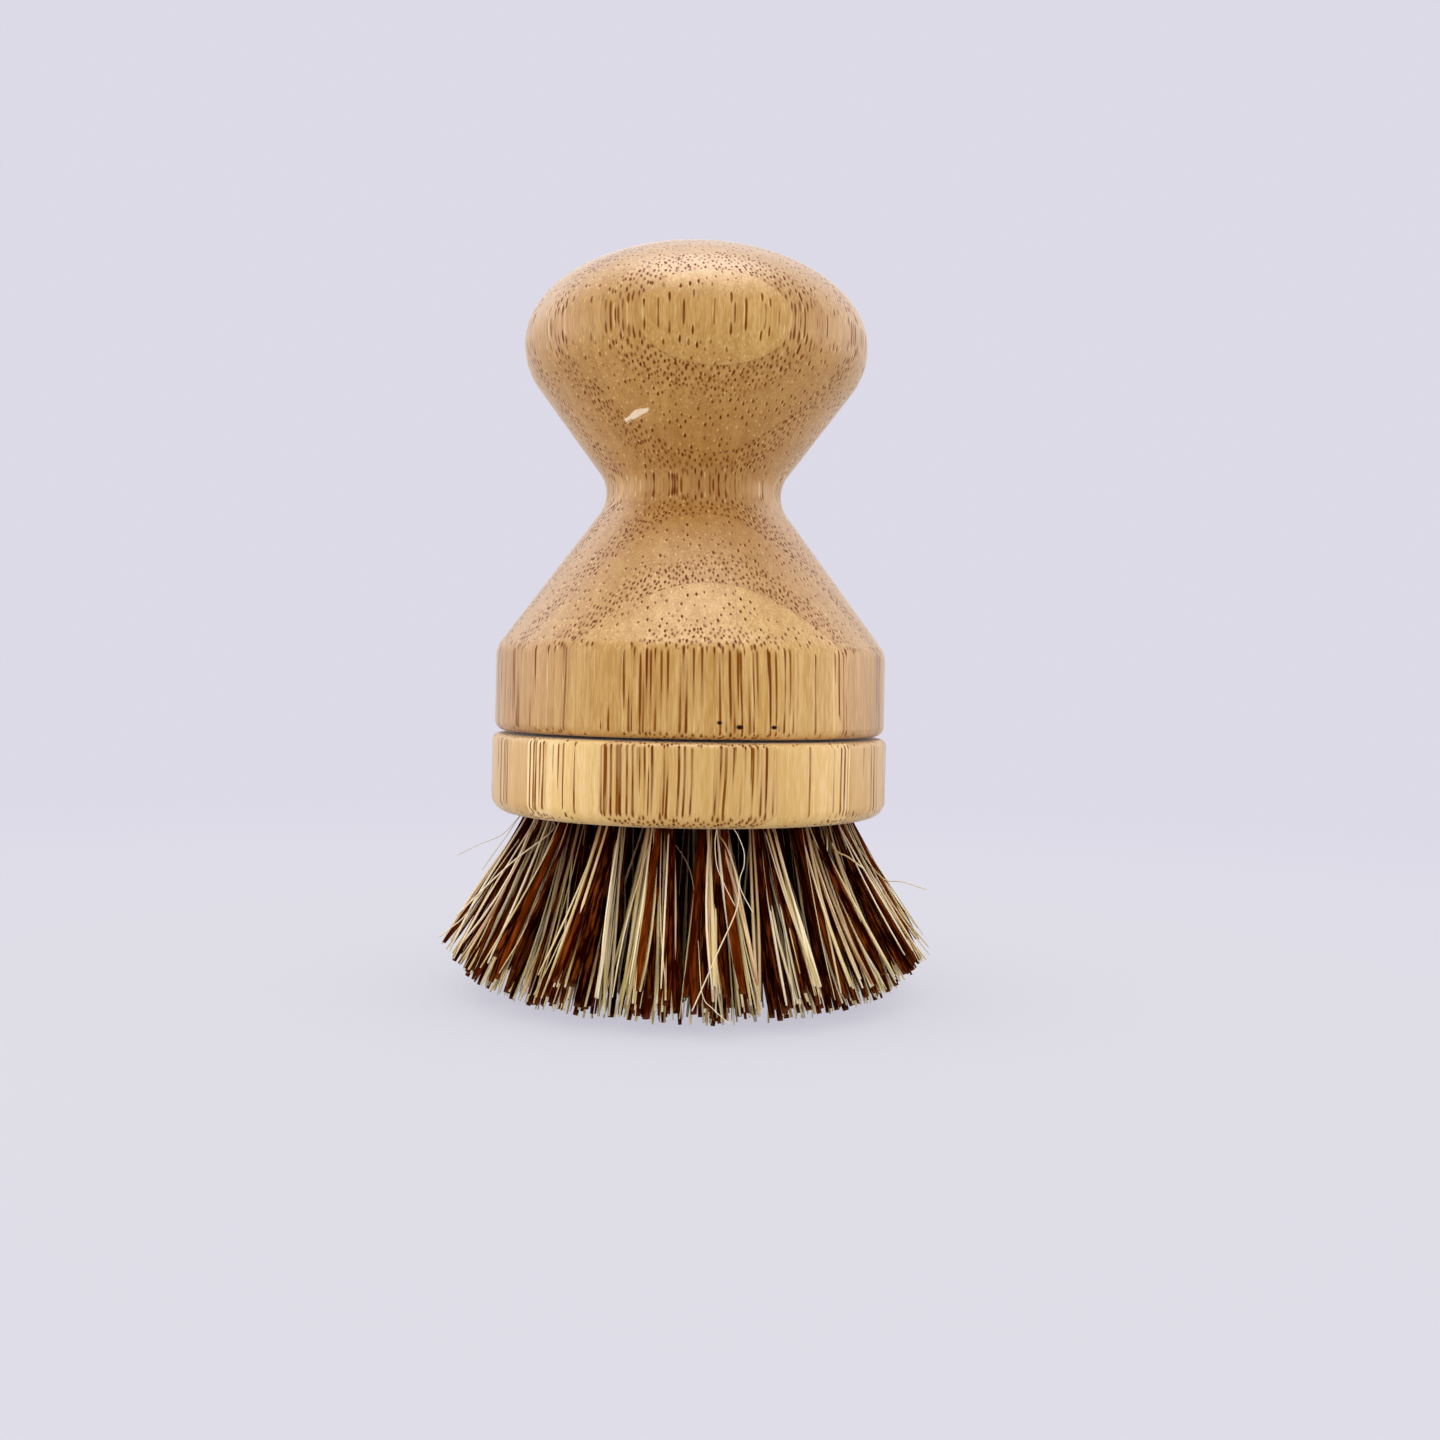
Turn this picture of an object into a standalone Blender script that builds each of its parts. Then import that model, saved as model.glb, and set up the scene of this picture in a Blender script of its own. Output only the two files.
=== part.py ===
"""Bamboo pot brush with a screw-on head.

The brush stands on its bristle tips, with +Z up and the origin on the floor under the middle of the head.
From the floor up it is made of
  - tufts of palm and sisal fibre, folded double and driven into slanted blind holes in three rings,
    each with the wire staple over its fold, whose two legs bite into the bamboo above the hole,
  - the head, a turned bamboo disc,
  - a threaded brass insert sunk in the middle of the head's top face,
  - a steel hanger bolt: machine thread below, wood screw thread above,
  - the turned bamboo handle: a wide base, a waist for the fingers and a knob for the palm.
Turning the handle anticlockwise seen from above unscrews the hanger bolt from the insert.
"""

import math
import random

import bmesh
import bpy
from mathutils import Matrix, Vector

MM = 0.001

# Bristles, measured from the floor
BRISTLE_DROP = 23.5 * MM  # floor to the head's underside
BRISTLE_FLARE = 6.3 * MM  # how far the outermost tips stand outside the head's rim
TIP_LIFT = 6.0 * MM  # how far the outermost tips stay off the floor
PALM_RADIUS = 0.40 * MM  # a palm strand at its root
SISAL_RADIUS = 0.32 * MM  # a sisal strand at its root
STRAND_ROOT = 0.8 * MM  # how far a strand reaches up into its plug

# Head disc
HEAD_DIAMETER = 52.0 * MM
HEAD_THICKNESS = 10.2 * MM
HEAD_TOP_EDGE = 0.9 * MM
HEAD_BOTTOM_EDGE = 3.0 * MM

# Tuft holes and what sits in them
HOLE_DIAMETER = 4.0 * MM
TUFT_PITCH = 6.2 * MM  # the least from tuft to tuft along a ring, and about that from ring to ring
TOP_LAND = 1.2 * MM  # wood left between the staples' legs and the head's top face
RIM_LAND = 1.1 * MM  # flat left between the outer holes and the rounded rim
SOCKET_LAND = 1.6 * MM  # wood left between the inner holes and the insert's socket
SEAT_GAP = 0.3 * MM  # round every piece that sits in a hole
PLUG_SETBACK = 0.5 * MM  # how far up its hole a tuft's packed root begins
STAPLE_WIRE = 0.6 * MM
STAPLE_WIDTH = 2.6 * MM  # between the middles of the two legs
STAPLE_BITE = 2.2 * MM  # how far the legs reach into the bamboo past the hole's wall
FOLD_THICKNESS = 1.3 * MM  # fibre between the staple's bridge and the hole's end

# Threaded joint between the head and the handle
BOLT_DIAMETER = 4.6 * MM  # the hanger bolt's threads at half their depth
BOLT_REACH = 5.8 * MM  # below the handle's underside
BOLT_COLLAR = 1.6 * MM  # plain shank between the two threads
BOLT_COLLAR_STEP = 0.2 * MM
BOLT_CHAMFER = 0.6 * MM
WOOD_SCREW_LENGTH = 20.0 * MM
WOOD_SCREW_POINT = 4.0 * MM
THREAD_GAP = 0.25 * MM  # between the hanger bolt and the insert's bore
INSERT_WALL = 0.95 * MM
INSERT_LENGTH = 6.0 * MM
INSERT_FLANGE = 0.8 * MM  # how far the flange stands out
INSERT_FLANGE_THICKNESS = 0.9 * MM
INSERT_GROOVE_DEPTH = 0.35 * MM
INSERT_GROOVE_WIDTH = 0.9 * MM
INSERT_GROOVE_SHARES = (0.35, 0.75)  # of the body under the flange, where the grooves lie
BORE_CHAMFER = 0.4 * MM
SEAM = 0.35 * MM  # the dark line between the head and the handle

# Handle, measured up from its underside
BASE_SETBACK = 0.3 * MM  # how far the base's side lies inside the head's rim
BASE_STRAIGHT = 9.8 * MM  # height at which the base's straight side ends
BASE_EDGE = 1.3 * MM
SHOULDER_RADIUS = 3.1 * MM
NECK_RISE = 21.65 * MM  # from there to the waist
NECK_DIAMETER = 23.2 * MM
NECK_HOLLOW = 4.65 * MM
KNOB_RISE = 19.5 * MM  # from the waist to the knob's widest place
KNOB_DIAMETER = 45.4 * MM
KNOB_UNDERSIDE = 9.3 * MM
KNOB_DOME = 13.25 * MM

# How finely round shapes are cut
WOOD_SIDES = 48
METAL_SIDES = 20
HOLE_SIDES = 10
PLUG_SIDES = 8
DOME_STEPS = 8
ARC_STEPS = 4
EDGE_STEPS = 2

# How far a cutter runs past the face that it cuts, and how close two points count as one
CUT_OVERRUN = 1.0 * MM
WELD = 0.003 * MM
DRILL_POINT_ANGLE = math.radians(59)

# Strands of one tuft: three inside and six round them, numbered in that order
INNER_STRANDS = 3
OUTER_STRANDS = 6
PALM_STRANDS = (3, 4, 6, 7)
FULL_LENGTH_STRANDS = (0, 3, 6)  # the others may end short
INNER_TURN_SHARE = 0.25  # of the turn between inner strands, which sets them in the outer six's gaps
ROOT_SPREAD_SHARE = 0.68  # of the plug's radius, how far out the outer six are rooted
INNER_SPREAD_SHARE = 0.43  # of the outer six's spread, how far out the inner three stand
TIP_GROWTH_SHARE = 1.35  # a strand's radius at its tip over that at its root
UNEVEN_TIP_SHARE = 0.05  # of the drop, the most that a tip ends short
WANDER_SHARE = 0.06  # of the tips' spread, the most that a tip strays from its place

# The rings of tufts: the first tuft's place as a share of the turn from tuft to tuft, where a tuft's
# middle tip stands as a share of the outermost tips' reach, the width of its tips as a share of the
# room beside its neighbours, the share of a strand's outward travel that its bend adds as the square
# of its fall, the straight pieces that a strand is drawn in, and how many unlike tufts it repeats.
OUTER_RING = {"name": "outer", "first_share": 0.5, "tip_share": 0.873, "spread_share": 0.81,
              "bend_share": 0.2, "pieces": 3, "variants": 5}
MIDDLE_RING = {"name": "middle", "first_share": 0.5, "tip_share": 0.585, "spread_share": 0.73,
               "bend_share": 0.0, "pieces": 1, "variants": 3}
INNER_RING = {"name": "inner", "first_share": 0.5, "tip_share": 0.25, "spread_share": 0.82,
              "bend_share": 0.0, "pieces": 1, "variants": 3}
LEVEL_TRIM_SHARE = 0.68  # of the tips' reach, inside which the tips are cut level with the floor

# Sizes and heights that follow from the ones above
HEAD_RADIUS = HEAD_DIAMETER / 2
HEAD_BOTTOM = BRISTLE_DROP
HEAD_TOP = HEAD_BOTTOM + HEAD_THICKNESS
HANDLE_BOTTOM = HEAD_TOP + SEAM
HOLE_RADIUS = HOLE_DIAMETER / 2
HOLE_DEPTH = HEAD_THICKNESS - TOP_LAND - STAPLE_BITE - SEAT_GAP  # the wall, without the drill's point
PLUG_RADIUS = HOLE_RADIUS - SEAT_GAP
DRILL_POINT = HOLE_RADIUS / math.tan(DRILL_POINT_ANGLE)
BOLT_RADIUS = BOLT_DIAMETER / 2
INSERT_BORE = BOLT_RADIUS + THREAD_GAP
INSERT_RADIUS = INSERT_BORE + INSERT_WALL
FLANGE_RADIUS = INSERT_RADIUS + INSERT_FLANGE
SOCKET_RADIUS = INSERT_RADIUS + SEAT_GAP
BASE_RADIUS = HEAD_RADIUS - BASE_SETBACK
NECK_HEIGHT = BASE_STRAIGHT + NECK_RISE
KNOB_HEIGHT = NECK_HEIGHT + KNOB_RISE
TIP_REACH = HEAD_RADIUS + BRISTLE_FLARE
ROOT_HEIGHT = PLUG_SETBACK + STRAND_ROOT
OUTER_RING_RADIUS = HEAD_RADIUS - HEAD_BOTTOM_EDGE - RIM_LAND - HOLE_RADIUS
INNER_RING_RADIUS = SOCKET_RADIUS + SOCKET_LAND + HOLE_RADIUS


def laid_out_rings():
    """The rings that there is room for, each with its radius and an even number of tufts."""
    room = OUTER_RING_RADIUS - INNER_RING_RADIUS
    rings = [OUTER_RING, INNER_RING]
    if round(room / TUFT_PITCH) > 1:
        rings.insert(1, MIDDLE_RING)
    for number, ring in enumerate(rings):
        ring["radius"] = OUTER_RING_RADIUS - room * number / (len(rings) - 1)
        ring["tufts"] = 2 * math.floor(math.pi * ring["radius"] / TUFT_PITCH)
    return rings


RINGS = laid_out_rings()


def clear_scene():
    for old in list(bpy.data.objects):
        bpy.data.objects.remove(old)


def new_collection(name):
    collection = bpy.data.collections.new(name)
    bpy.context.scene.collection.children.link(collection)
    return collection


def principled(name, colour, roughness, metallic=0.0):
    """A plain material with the piece's colour, roughness and metallic value."""
    material = bpy.data.materials.new(name)
    material.use_nodes = True
    shader = material.node_tree.nodes["Principled BSDF"]
    shader.inputs["Base Color"].default_value = (*colour, 1.0)
    shader.inputs["Roughness"].default_value = roughness
    shader.inputs["Metallic"].default_value = metallic
    return material


def add_object(name, data, collection, material=None):
    made = bpy.data.objects.new(name, data)
    collection.objects.link(made)
    if material is not None:
        data.materials.append(material)
    return made


def as_helper(made):
    """Marks a cutter or a pattern piece, which isn't part of the brush."""
    made.hide_render = True
    made.display_type = "WIRE"
    return made


def baked_mesh(made, name):
    """The object's evaluated shape as a mesh of its own, with a curve's caps welded on."""
    graph = bpy.context.evaluated_depsgraph_get()
    mesh = bpy.data.meshes.new_from_object(made.evaluated_get(graph))
    mesh.name = name
    shape = bmesh.new()
    shape.from_mesh(mesh)
    bmesh.ops.remove_doubles(shape, verts=shape.verts, dist=WELD)
    shape.to_mesh(mesh)
    shape.free()
    return mesh


def arc(centre, radius, start, end, steps):
    """Points on a circle in the (radius, height) plane, from one angle to another, in radians."""
    return [
        (centre[0] + radius * math.cos(start + (end - start) * i / steps),
         centre[1] + radius * math.sin(start + (end - start) * i / steps))
        for i in range(steps + 1)
    ]


def crossing_tangent(bulge, bulge_radius, hollow, hollow_radius):
    """Where a line touches a bulge on one side and a hollow on the other.

    Returns the direction from the bulge's middle to the hollow's, and the angle that opens from it
    to the radius that meets the line.
    """
    away_r, away_z = hollow[0] - bulge[0], hollow[1] - bulge[1]
    apart = math.hypot(away_r, away_z)
    return math.atan2(away_z, away_r), math.acos((bulge_radius + hollow_radius) / apart)


def turned(name, profile, sides, collection, material=None):
    """A lathe-turned solid: the (radius, height) profile runs down the outside, top to bottom."""
    mesh = bpy.data.meshes.new(name)
    mesh.from_pydata([(r, 0.0, z) for r, z in profile], [(i, i + 1) for i in range(len(profile) - 1)], [])
    made = add_object(name, mesh, collection, material)
    lathe = made.modifiers.new("lathe", "SCREW")
    lathe.axis = "Z"
    lathe.angle = 2 * math.pi
    lathe.steps = sides
    lathe.render_steps = sides
    lathe.use_merge_vertices = True
    lathe.merge_threshold = WELD
    lathe.use_smooth_shade = True
    return made


def cut(target, cutter, name):
    boolean = target.modifiers.new(name, "BOOLEAN")
    boolean.operation = "DIFFERENCE"
    boolean.object = cutter


def join(target, addition, name):
    boolean = target.modifiers.new(name, "BOOLEAN")
    boolean.operation = "UNION"
    boolean.object = addition


def handle_profile():
    """Half outline of the handle, down from the top of the knob and back up into the bore for the bolt."""
    knob = (KNOB_DIAMETER / 2 - KNOB_UNDERSIDE, KNOB_HEIGHT)
    neck = (NECK_DIAMETER / 2 + NECK_HOLLOW, NECK_HEIGHT)
    shoulder = (BASE_RADIUS - SHOULDER_RADIUS, BASE_STRAIGHT)
    dome = [
        (KNOB_DIAMETER / 2 * math.sin(turn), KNOB_HEIGHT + KNOB_DOME * math.cos(turn))
        for turn in (math.pi / 2 * i / DOME_STEPS for i in range(DOME_STEPS))
    ]
    line, open_up = crossing_tangent(knob, KNOB_UNDERSIDE, neck, NECK_HOLLOW)
    knob_touch = line + open_up
    under_knob = arc(knob, KNOB_UNDERSIDE, 0.0, knob_touch, ARC_STEPS)
    line, open_down = crossing_tangent(shoulder, SHOULDER_RADIUS, neck, NECK_HOLLOW)
    shoulder_touch = line - open_down
    hollow = arc(neck, NECK_HOLLOW, knob_touch + math.pi, shoulder_touch + math.pi, ARC_STEPS)
    over_base = arc(shoulder, SHOULDER_RADIUS, shoulder_touch, 0.0, EDGE_STEPS)
    foot = arc((BASE_RADIUS - BASE_EDGE, BASE_EDGE), BASE_EDGE, 0.0, -math.pi / 2, EDGE_STEPS + 1)
    bore = BOLT_RADIUS + SEAT_GAP
    bore_top = WOOD_SCREW_LENGTH + SEAT_GAP
    drilled = [
        (bore + BORE_CHAMFER, 0.0),
        (bore, BORE_CHAMFER),
        (bore, bore_top),
        (0.0, bore_top + bore / math.tan(DRILL_POINT_ANGLE)),
    ]
    return dome + under_knob + hollow + over_base + foot + drilled


def build_handle(collection, material):
    handle = turned("handle", handle_profile(), WOOD_SIDES, collection, material)
    handle.location.z = HANDLE_BOTTOM


def build_bolt(collection, material):
    """The hanger bolt, with its threads left as plain cylinders at half their depth."""
    collar = BOLT_RADIUS + BOLT_COLLAR_STEP
    profile = [
        (0.0, WOOD_SCREW_LENGTH),
        (BOLT_RADIUS, WOOD_SCREW_LENGTH - WOOD_SCREW_POINT),
        (BOLT_RADIUS, BOLT_COLLAR),
        (collar, BOLT_COLLAR - BOLT_COLLAR_STEP),
        (collar, BOLT_COLLAR_STEP),
        (BOLT_RADIUS, 0.0),
        (BOLT_RADIUS, BOLT_CHAMFER - BOLT_REACH),
        (BOLT_RADIUS - BOLT_CHAMFER, -BOLT_REACH),
        (0.0, -BOLT_REACH),
    ]
    bolt = turned("hanger_bolt", profile, METAL_SIDES, collection, material)
    bolt.location.z = HANDLE_BOTTOM


def build_insert(collection, material):
    """The brass insert: a flange sunk flush with the wood, and grooves that the wood grips."""
    groove = INSERT_RADIUS - INSERT_GROOVE_DEPTH
    body = INSERT_LENGTH - INSERT_FLANGE_THICKNESS
    profile = [
        (INSERT_BORE + BORE_CHAMFER, 0.0),
        (FLANGE_RADIUS, 0.0),
        (FLANGE_RADIUS, -INSERT_FLANGE_THICKNESS),
        (INSERT_RADIUS, -INSERT_FLANGE_THICKNESS),
    ]
    for share in INSERT_GROOVE_SHARES:
        middle = -INSERT_FLANGE_THICKNESS - body * share
        profile += [
            (INSERT_RADIUS, middle + INSERT_GROOVE_WIDTH / 2),
            (groove, middle + INSERT_GROOVE_WIDTH / 2),
            (groove, middle - INSERT_GROOVE_WIDTH / 2),
            (INSERT_RADIUS, middle - INSERT_GROOVE_WIDTH / 2),
        ]
    profile += [
        (INSERT_RADIUS, BORE_CHAMFER - INSERT_LENGTH),
        (INSERT_RADIUS - BORE_CHAMFER, -INSERT_LENGTH),
        (INSERT_BORE, -INSERT_LENGTH),
        (INSERT_BORE, -BORE_CHAMFER),
        (INSERT_BORE + BORE_CHAMFER, 0.0),
    ]
    insert = turned("threaded_insert", profile, METAL_SIDES, collection, material)
    insert.location.z = HEAD_TOP


def head_profile():
    """Half outline of the head about its underside, with the stepped socket for the insert in its top."""
    step = HEAD_THICKNESS - INSERT_FLANGE_THICKNESS - SEAT_GAP
    floor = HEAD_THICKNESS - INSERT_LENGTH - SEAT_GAP
    flange = FLANGE_RADIUS + SEAT_GAP
    top_edge = arc((HEAD_RADIUS - HEAD_TOP_EDGE, HEAD_THICKNESS - HEAD_TOP_EDGE), HEAD_TOP_EDGE,
                   math.pi / 2, 0.0, EDGE_STEPS)
    bottom_edge = arc((HEAD_RADIUS - HEAD_BOTTOM_EDGE, HEAD_BOTTOM_EDGE), HEAD_BOTTOM_EDGE,
                      0.0, -math.pi / 2, ARC_STEPS)
    socket = [(0.0, floor), (SOCKET_RADIUS, floor), (SOCKET_RADIUS, step), (flange, step),
              (flange, HEAD_THICKNESS)]
    return socket + top_edge + bottom_edge + [(0.0, 0.0)]


def hole_profile():
    """Half outline of a drilled hole about its mouth's middle: a straight wall and the drill's point."""
    return [(0.0, HOLE_DEPTH + DRILL_POINT), (HOLE_RADIUS, HOLE_DEPTH), (HOLE_RADIUS, -CUT_OVERRUN),
            (0.0, -CUT_OVERRUN)]


def plug_profile():
    """Half outline of the fibre packed in a hole, driven up against the drill's point."""
    shoulder = HOLE_DEPTH - SEAT_GAP
    return [(0.0, shoulder + DRILL_POINT), (PLUG_RADIUS, shoulder), (PLUG_RADIUS, PLUG_SETBACK),
            (0.0, PLUG_SETBACK)]


def staple_curve(name, wire_radius, collection):
    """A U of wire across a hole: its bridge lies under the fold and its legs point up into the bamboo."""
    bridge = HOLE_DEPTH - FOLD_THICKNESS
    leg_end = HOLE_DEPTH + STAPLE_BITE + wire_radius - STAPLE_WIRE / 2
    half = STAPLE_WIDTH / 2
    bend = STAPLE_WIRE
    half_line = [(half, leg_end), *arc((half - bend, bridge + bend), bend, 0.0, -math.pi / 2, EDGE_STEPS)]
    line = half_line + [(-y, z) for y, z in reversed(half_line)]
    data = bpy.data.curves.new(name, "CURVE")
    data.dimensions = "3D"
    data.bevel_depth = wire_radius
    data.bevel_resolution = 0
    data.use_fill_caps = True
    spline = data.splines.new("POLY")
    spline.points.add(len(line) - 1)
    for point, (y, z) in zip(spline.points, line):
        point.co = (0.0, y, z, 1.0)
    return add_object(name, data, collection)


def placement(ring, index):
    """Where a tuft's hole opens in the head's underside, and which way round the tuft stands."""
    angle = math.tau * (index + ring["first_share"]) / ring["tufts"]
    mouth = (ring["radius"] * math.cos(angle), ring["radius"] * math.sin(angle), HEAD_BOTTOM)
    return Matrix.Translation(mouth) @ Matrix.Rotation(angle, 4, "Z")


def tip_lift(radius):
    """How far off the floor a tip is cut: level near the middle, then rising towards the outermost tips."""
    level = TIP_REACH * LEVEL_TRIM_SHARE
    return TIP_LIFT * (max(0.0, radius - level) / (TIP_REACH - level)) ** 2


def slope(ring):
    """How far outwards a tuft's middle goes for each bit that it comes down, where it leaves its plug."""
    middle_tip = TIP_REACH * ring["tip_share"]
    outwards = middle_tip - ring["radius"]
    drop = BRISTLE_DROP - tip_lift(middle_tip)
    return (1 - ring["bend_share"]) * outwards / (drop + ring["bend_share"] * ROOT_HEIGHT)


def slanted(ring):
    """Leans a hole so that the tuft comes out of it in line with the hole."""
    return Matrix.Rotation(-math.atan(slope(ring)), 4, "Y")


def repeated_cutter(name, pattern, collection):
    """One mesh that holds a copy of the pattern at every tuft hole."""
    shape = bmesh.new()
    for ring in RINGS:
        for index in range(ring["tufts"]):
            old = set(shape.verts)
            shape.from_mesh(pattern)
            fresh = [v for v in shape.verts if v not in old]
            bmesh.ops.transform(shape, matrix=placement(ring, index) @ slanted(ring), verts=fresh)
    mesh = bpy.data.meshes.new(name)
    shape.to_mesh(mesh)
    shape.free()
    return as_helper(add_object(name, mesh, collection))


def build_head(collection, cutters, material, hole_mesh, channel_mesh):
    head = turned("head_disc", head_profile(), WOOD_SIDES, collection, material)
    head.location.z = HEAD_BOTTOM
    cut(head, repeated_cutter("tuft_holes", hole_mesh, cutters), "tuft holes")
    cut(head, repeated_cutter("staple_leg_holes", channel_mesh, cutters), "staple leg holes")


def strand_places(variant):
    """Places of a tuft's strands on a disc of radius 1: three inside, and six round them in their gaps."""
    inner = [(INNER_SPREAD_SHARE, math.tau * (i + INNER_TURN_SHARE) / INNER_STRANDS)
             for i in range(INNER_STRANDS)]
    outer = [(1.0, math.tau * i / OUTER_STRANDS) for i in range(OUTER_STRANDS)]
    return [(out * math.cos(turn + variant), out * math.sin(turn + variant)) for out, turn in inner + outer]


def strand_paths(ring, variant):
    """Middle line and radius of each strand of a tuft, about its hole's mouth, with +X outwards.

    The tips repeat the layout of the roots, larger, and every strand travels outwards by the same law
    of its fall: a steady part and a part that grows as its square. So they spread but never cross.
    """
    chance = random.Random(f"{ring['name']} {variant}")
    mouth = ring["radius"]
    middle_tip = TIP_REACH * ring["tip_share"]
    spread = math.pi * middle_tip / ring["tufts"] * ring["spread_share"]
    wander = spread * WANDER_SHARE
    middle_root = Vector((-slope(ring) * ROOT_HEIGHT, 0.0))
    paths = []
    for number, place in enumerate(strand_places(variant)):
        root = middle_root + Vector(place) * PLUG_RADIUS * ROOT_SPREAD_SHARE
        astray = Vector((chance.uniform(-wander, wander), chance.uniform(-wander, wander)))
        tip = Vector((middle_tip - mouth, 0.0)) + Vector(place) * spread + astray
        short = BRISTLE_DROP * UNEVEN_TIP_SHARE * chance.random()
        if number in FULL_LENGTH_STRANDS:
            short = 0.0
        tip_height = tip_lift(math.hypot(mouth + tip.x, tip.y)) + short - BRISTLE_DROP
        thick = PALM_RADIUS if number in PALM_STRANDS else SISAL_RADIUS
        path = []
        for step in range(ring["pieces"] + 1):
            fallen = step / ring["pieces"]
            travel = fallen * (1 - ring["bend_share"] + ring["bend_share"] * fallen)
            middle = root + (tip - root) * travel
            height = ROOT_HEIGHT + (tip_height - ROOT_HEIGHT) * fallen
            path.append((middle.x, middle.y, height, thick * (1 + (TIP_GROWTH_SHARE - 1) * fallen)))
        paths.append((number in PALM_STRANDS, path))
    return paths


def strand(shape, path, material_index):
    """Draws a strand down its path: a small level triangle is pulled out, so the tip is cut level."""
    x, y, z, radius = path[0]
    start = bmesh.ops.create_circle(shape, cap_ends=True, segments=3, radius=radius,
                                    matrix=Matrix.Translation((x, y, z)))
    root_face = start["verts"][0].link_faces[0]
    root_face.material_index = material_index
    face = root_face
    for next_x, next_y, next_z, wider in path[1:]:
        pulled = bmesh.ops.extrude_face_region(shape, geom=[face])["geom"]
        if face is not root_face:
            bmesh.ops.delete(shape, geom=[face], context="FACES_ONLY")
        corners = [g for g in pulled if isinstance(g, bmesh.types.BMVert)]
        face = next(g for g in pulled if isinstance(g, bmesh.types.BMFace))
        swell = Matrix.Translation((next_x, next_y, next_z)) @ Matrix.Scale(wider / radius, 4) @ \
            Matrix.Translation((-x, -y, -z))
        bmesh.ops.transform(shape, matrix=swell, verts=corners)
        x, y, z, radius = next_x, next_y, next_z, wider


def tuft_mesh(ring, variant, cutters, plug_mesh, staple, materials):
    """One tuft: the strands and the staple's legs grow out of the packed fibre in the hole."""
    name = f"tuft_{ring['name']}_pattern_{variant}"
    shape = bmesh.new()
    for is_palm, path in strand_paths(ring, variant):
        strand(shape, path, 1 if is_palm else 0)
    bmesh.ops.recalc_face_normals(shape, faces=shape.faces)
    mesh = bpy.data.meshes.new(name + "_strands")
    shape.to_mesh(mesh)
    shape.free()
    strands = as_helper(add_object(name + "_strands", mesh, cutters))
    plug = as_helper(add_object(name, plug_mesh.copy(), cutters))
    plug.matrix_world = slanted(ring)
    staple.matrix_world = slanted(ring)
    for material in materials:
        plug.data.materials.append(material)
        mesh.materials.append(material)
    join(plug, strands, "strands")
    join(plug, staple, "staple")
    bpy.context.view_layer.update()
    made = baked_mesh(plug, name)
    made.transform(slanted(ring))
    return made


def build_tufts(collection, cutters, materials, plug_mesh, staple):
    for ring in RINGS:
        patterns = [tuft_mesh(ring, variant, cutters, plug_mesh, staple, materials)
                    for variant in range(ring["variants"])]
        for index in range(ring["tufts"]):
            name = f"tuft_{ring['name']}_{index + 1:02d}"
            tuft = add_object(name, patterns[index % ring["variants"]], collection)
            tuft.matrix_world = placement(ring, index)


def least_strand_gap():
    """The closest that two strands come to each other below the head, measured level by level."""
    levels = 12
    heights = [HEAD_BOTTOM - BRISTLE_DROP * (level + 0.5) / levels for level in range(levels)]
    lines = []
    for ring in RINGS:
        for index in range(ring["tufts"]):
            place = placement(ring, index)
            for _, path in strand_paths(ring, index % ring["variants"]):
                lines.append([(place @ Vector(point[:3]), point[3]) for point in path])
    least = BRISTLE_DROP
    for height in heights:
        crossed = []
        for line in lines:
            for (upper, wide), (lower, wider) in zip(line[:-1], line[1:]):
                if lower.z <= height <= upper.z:
                    share = (upper.z - height) / (upper.z - lower.z)
                    crossed.append((upper.lerp(lower, share), wide + (wider - wide) * share))
        for i, (here, radius) in enumerate(crossed):
            for there, other in crossed[i + 1:]:
                least = min(least, (here - there).length - radius - other)
    return least


def main():
    clear_scene()
    brush = new_collection("pot_brush")
    cutters = new_collection("cutters")
    handle_bamboo = principled("bamboo_handle", (0.60, 0.37, 0.15), 0.42)
    head_bamboo = principled("bamboo_head", (0.62, 0.40, 0.17), 0.45)
    sisal = principled("sisal_fibre", (0.72, 0.58, 0.30), 0.55)
    palm = principled("palm_fibre", (0.10, 0.022, 0.010), 0.45)
    wire = principled("staple_wire", (0.55, 0.55, 0.54), 0.35, 1.0)
    steel = principled("zinc_plated_steel", (0.62, 0.62, 0.60), 0.30, 1.0)
    brass = principled("insert_brass", (0.75, 0.55, 0.22), 0.30, 1.0)

    hole = as_helper(turned("tuft_hole_pattern", hole_profile(), HOLE_SIDES, cutters))
    plug = as_helper(turned("plug_pattern", plug_profile(), PLUG_SIDES, cutters))
    staple_wire = staple_curve("staple_wire_pattern", STAPLE_WIRE / 2, cutters)
    channel_wire = staple_curve("staple_channel_pattern", STAPLE_WIRE / 2 + SEAT_GAP, cutters)
    bpy.context.view_layer.update()
    staple = as_helper(add_object("staple", baked_mesh(staple_wire, "staple"), cutters, wire))
    channel_mesh = baked_mesh(channel_wire, "staple_channel")
    bpy.data.objects.remove(staple_wire)
    bpy.data.objects.remove(channel_wire)

    build_handle(brush, handle_bamboo)
    build_bolt(brush, steel)
    build_insert(brush, brass)
    build_head(brush, cutters, head_bamboo, baked_mesh(hole, "tuft_hole"), channel_mesh)
    build_tufts(brush, cutters, (sisal, palm), baked_mesh(plug, "plug"), staple)
    print(f"least gap between strands: {least_strand_gap() / MM:.2f} mm")


main()
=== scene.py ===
# %% [markdown]
# # A bamboo pot brush with a screw-on head
#
# The brush stands on its bristle tips. A turned bamboo handle screws into a bamboo head with a steel
# hanger bolt, and 38 tufts of palm and sisal fibre sit in slanted holes under the head.
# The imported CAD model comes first, as a fixed frame. Every piece that is made here goes where the CAD
# says, rides on one of its bodies and stands for one of its solids, only with finer shapes and finishes.

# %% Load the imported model
import math

import bpy
import numpy as np
from mathutils import Matrix, Vector


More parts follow.
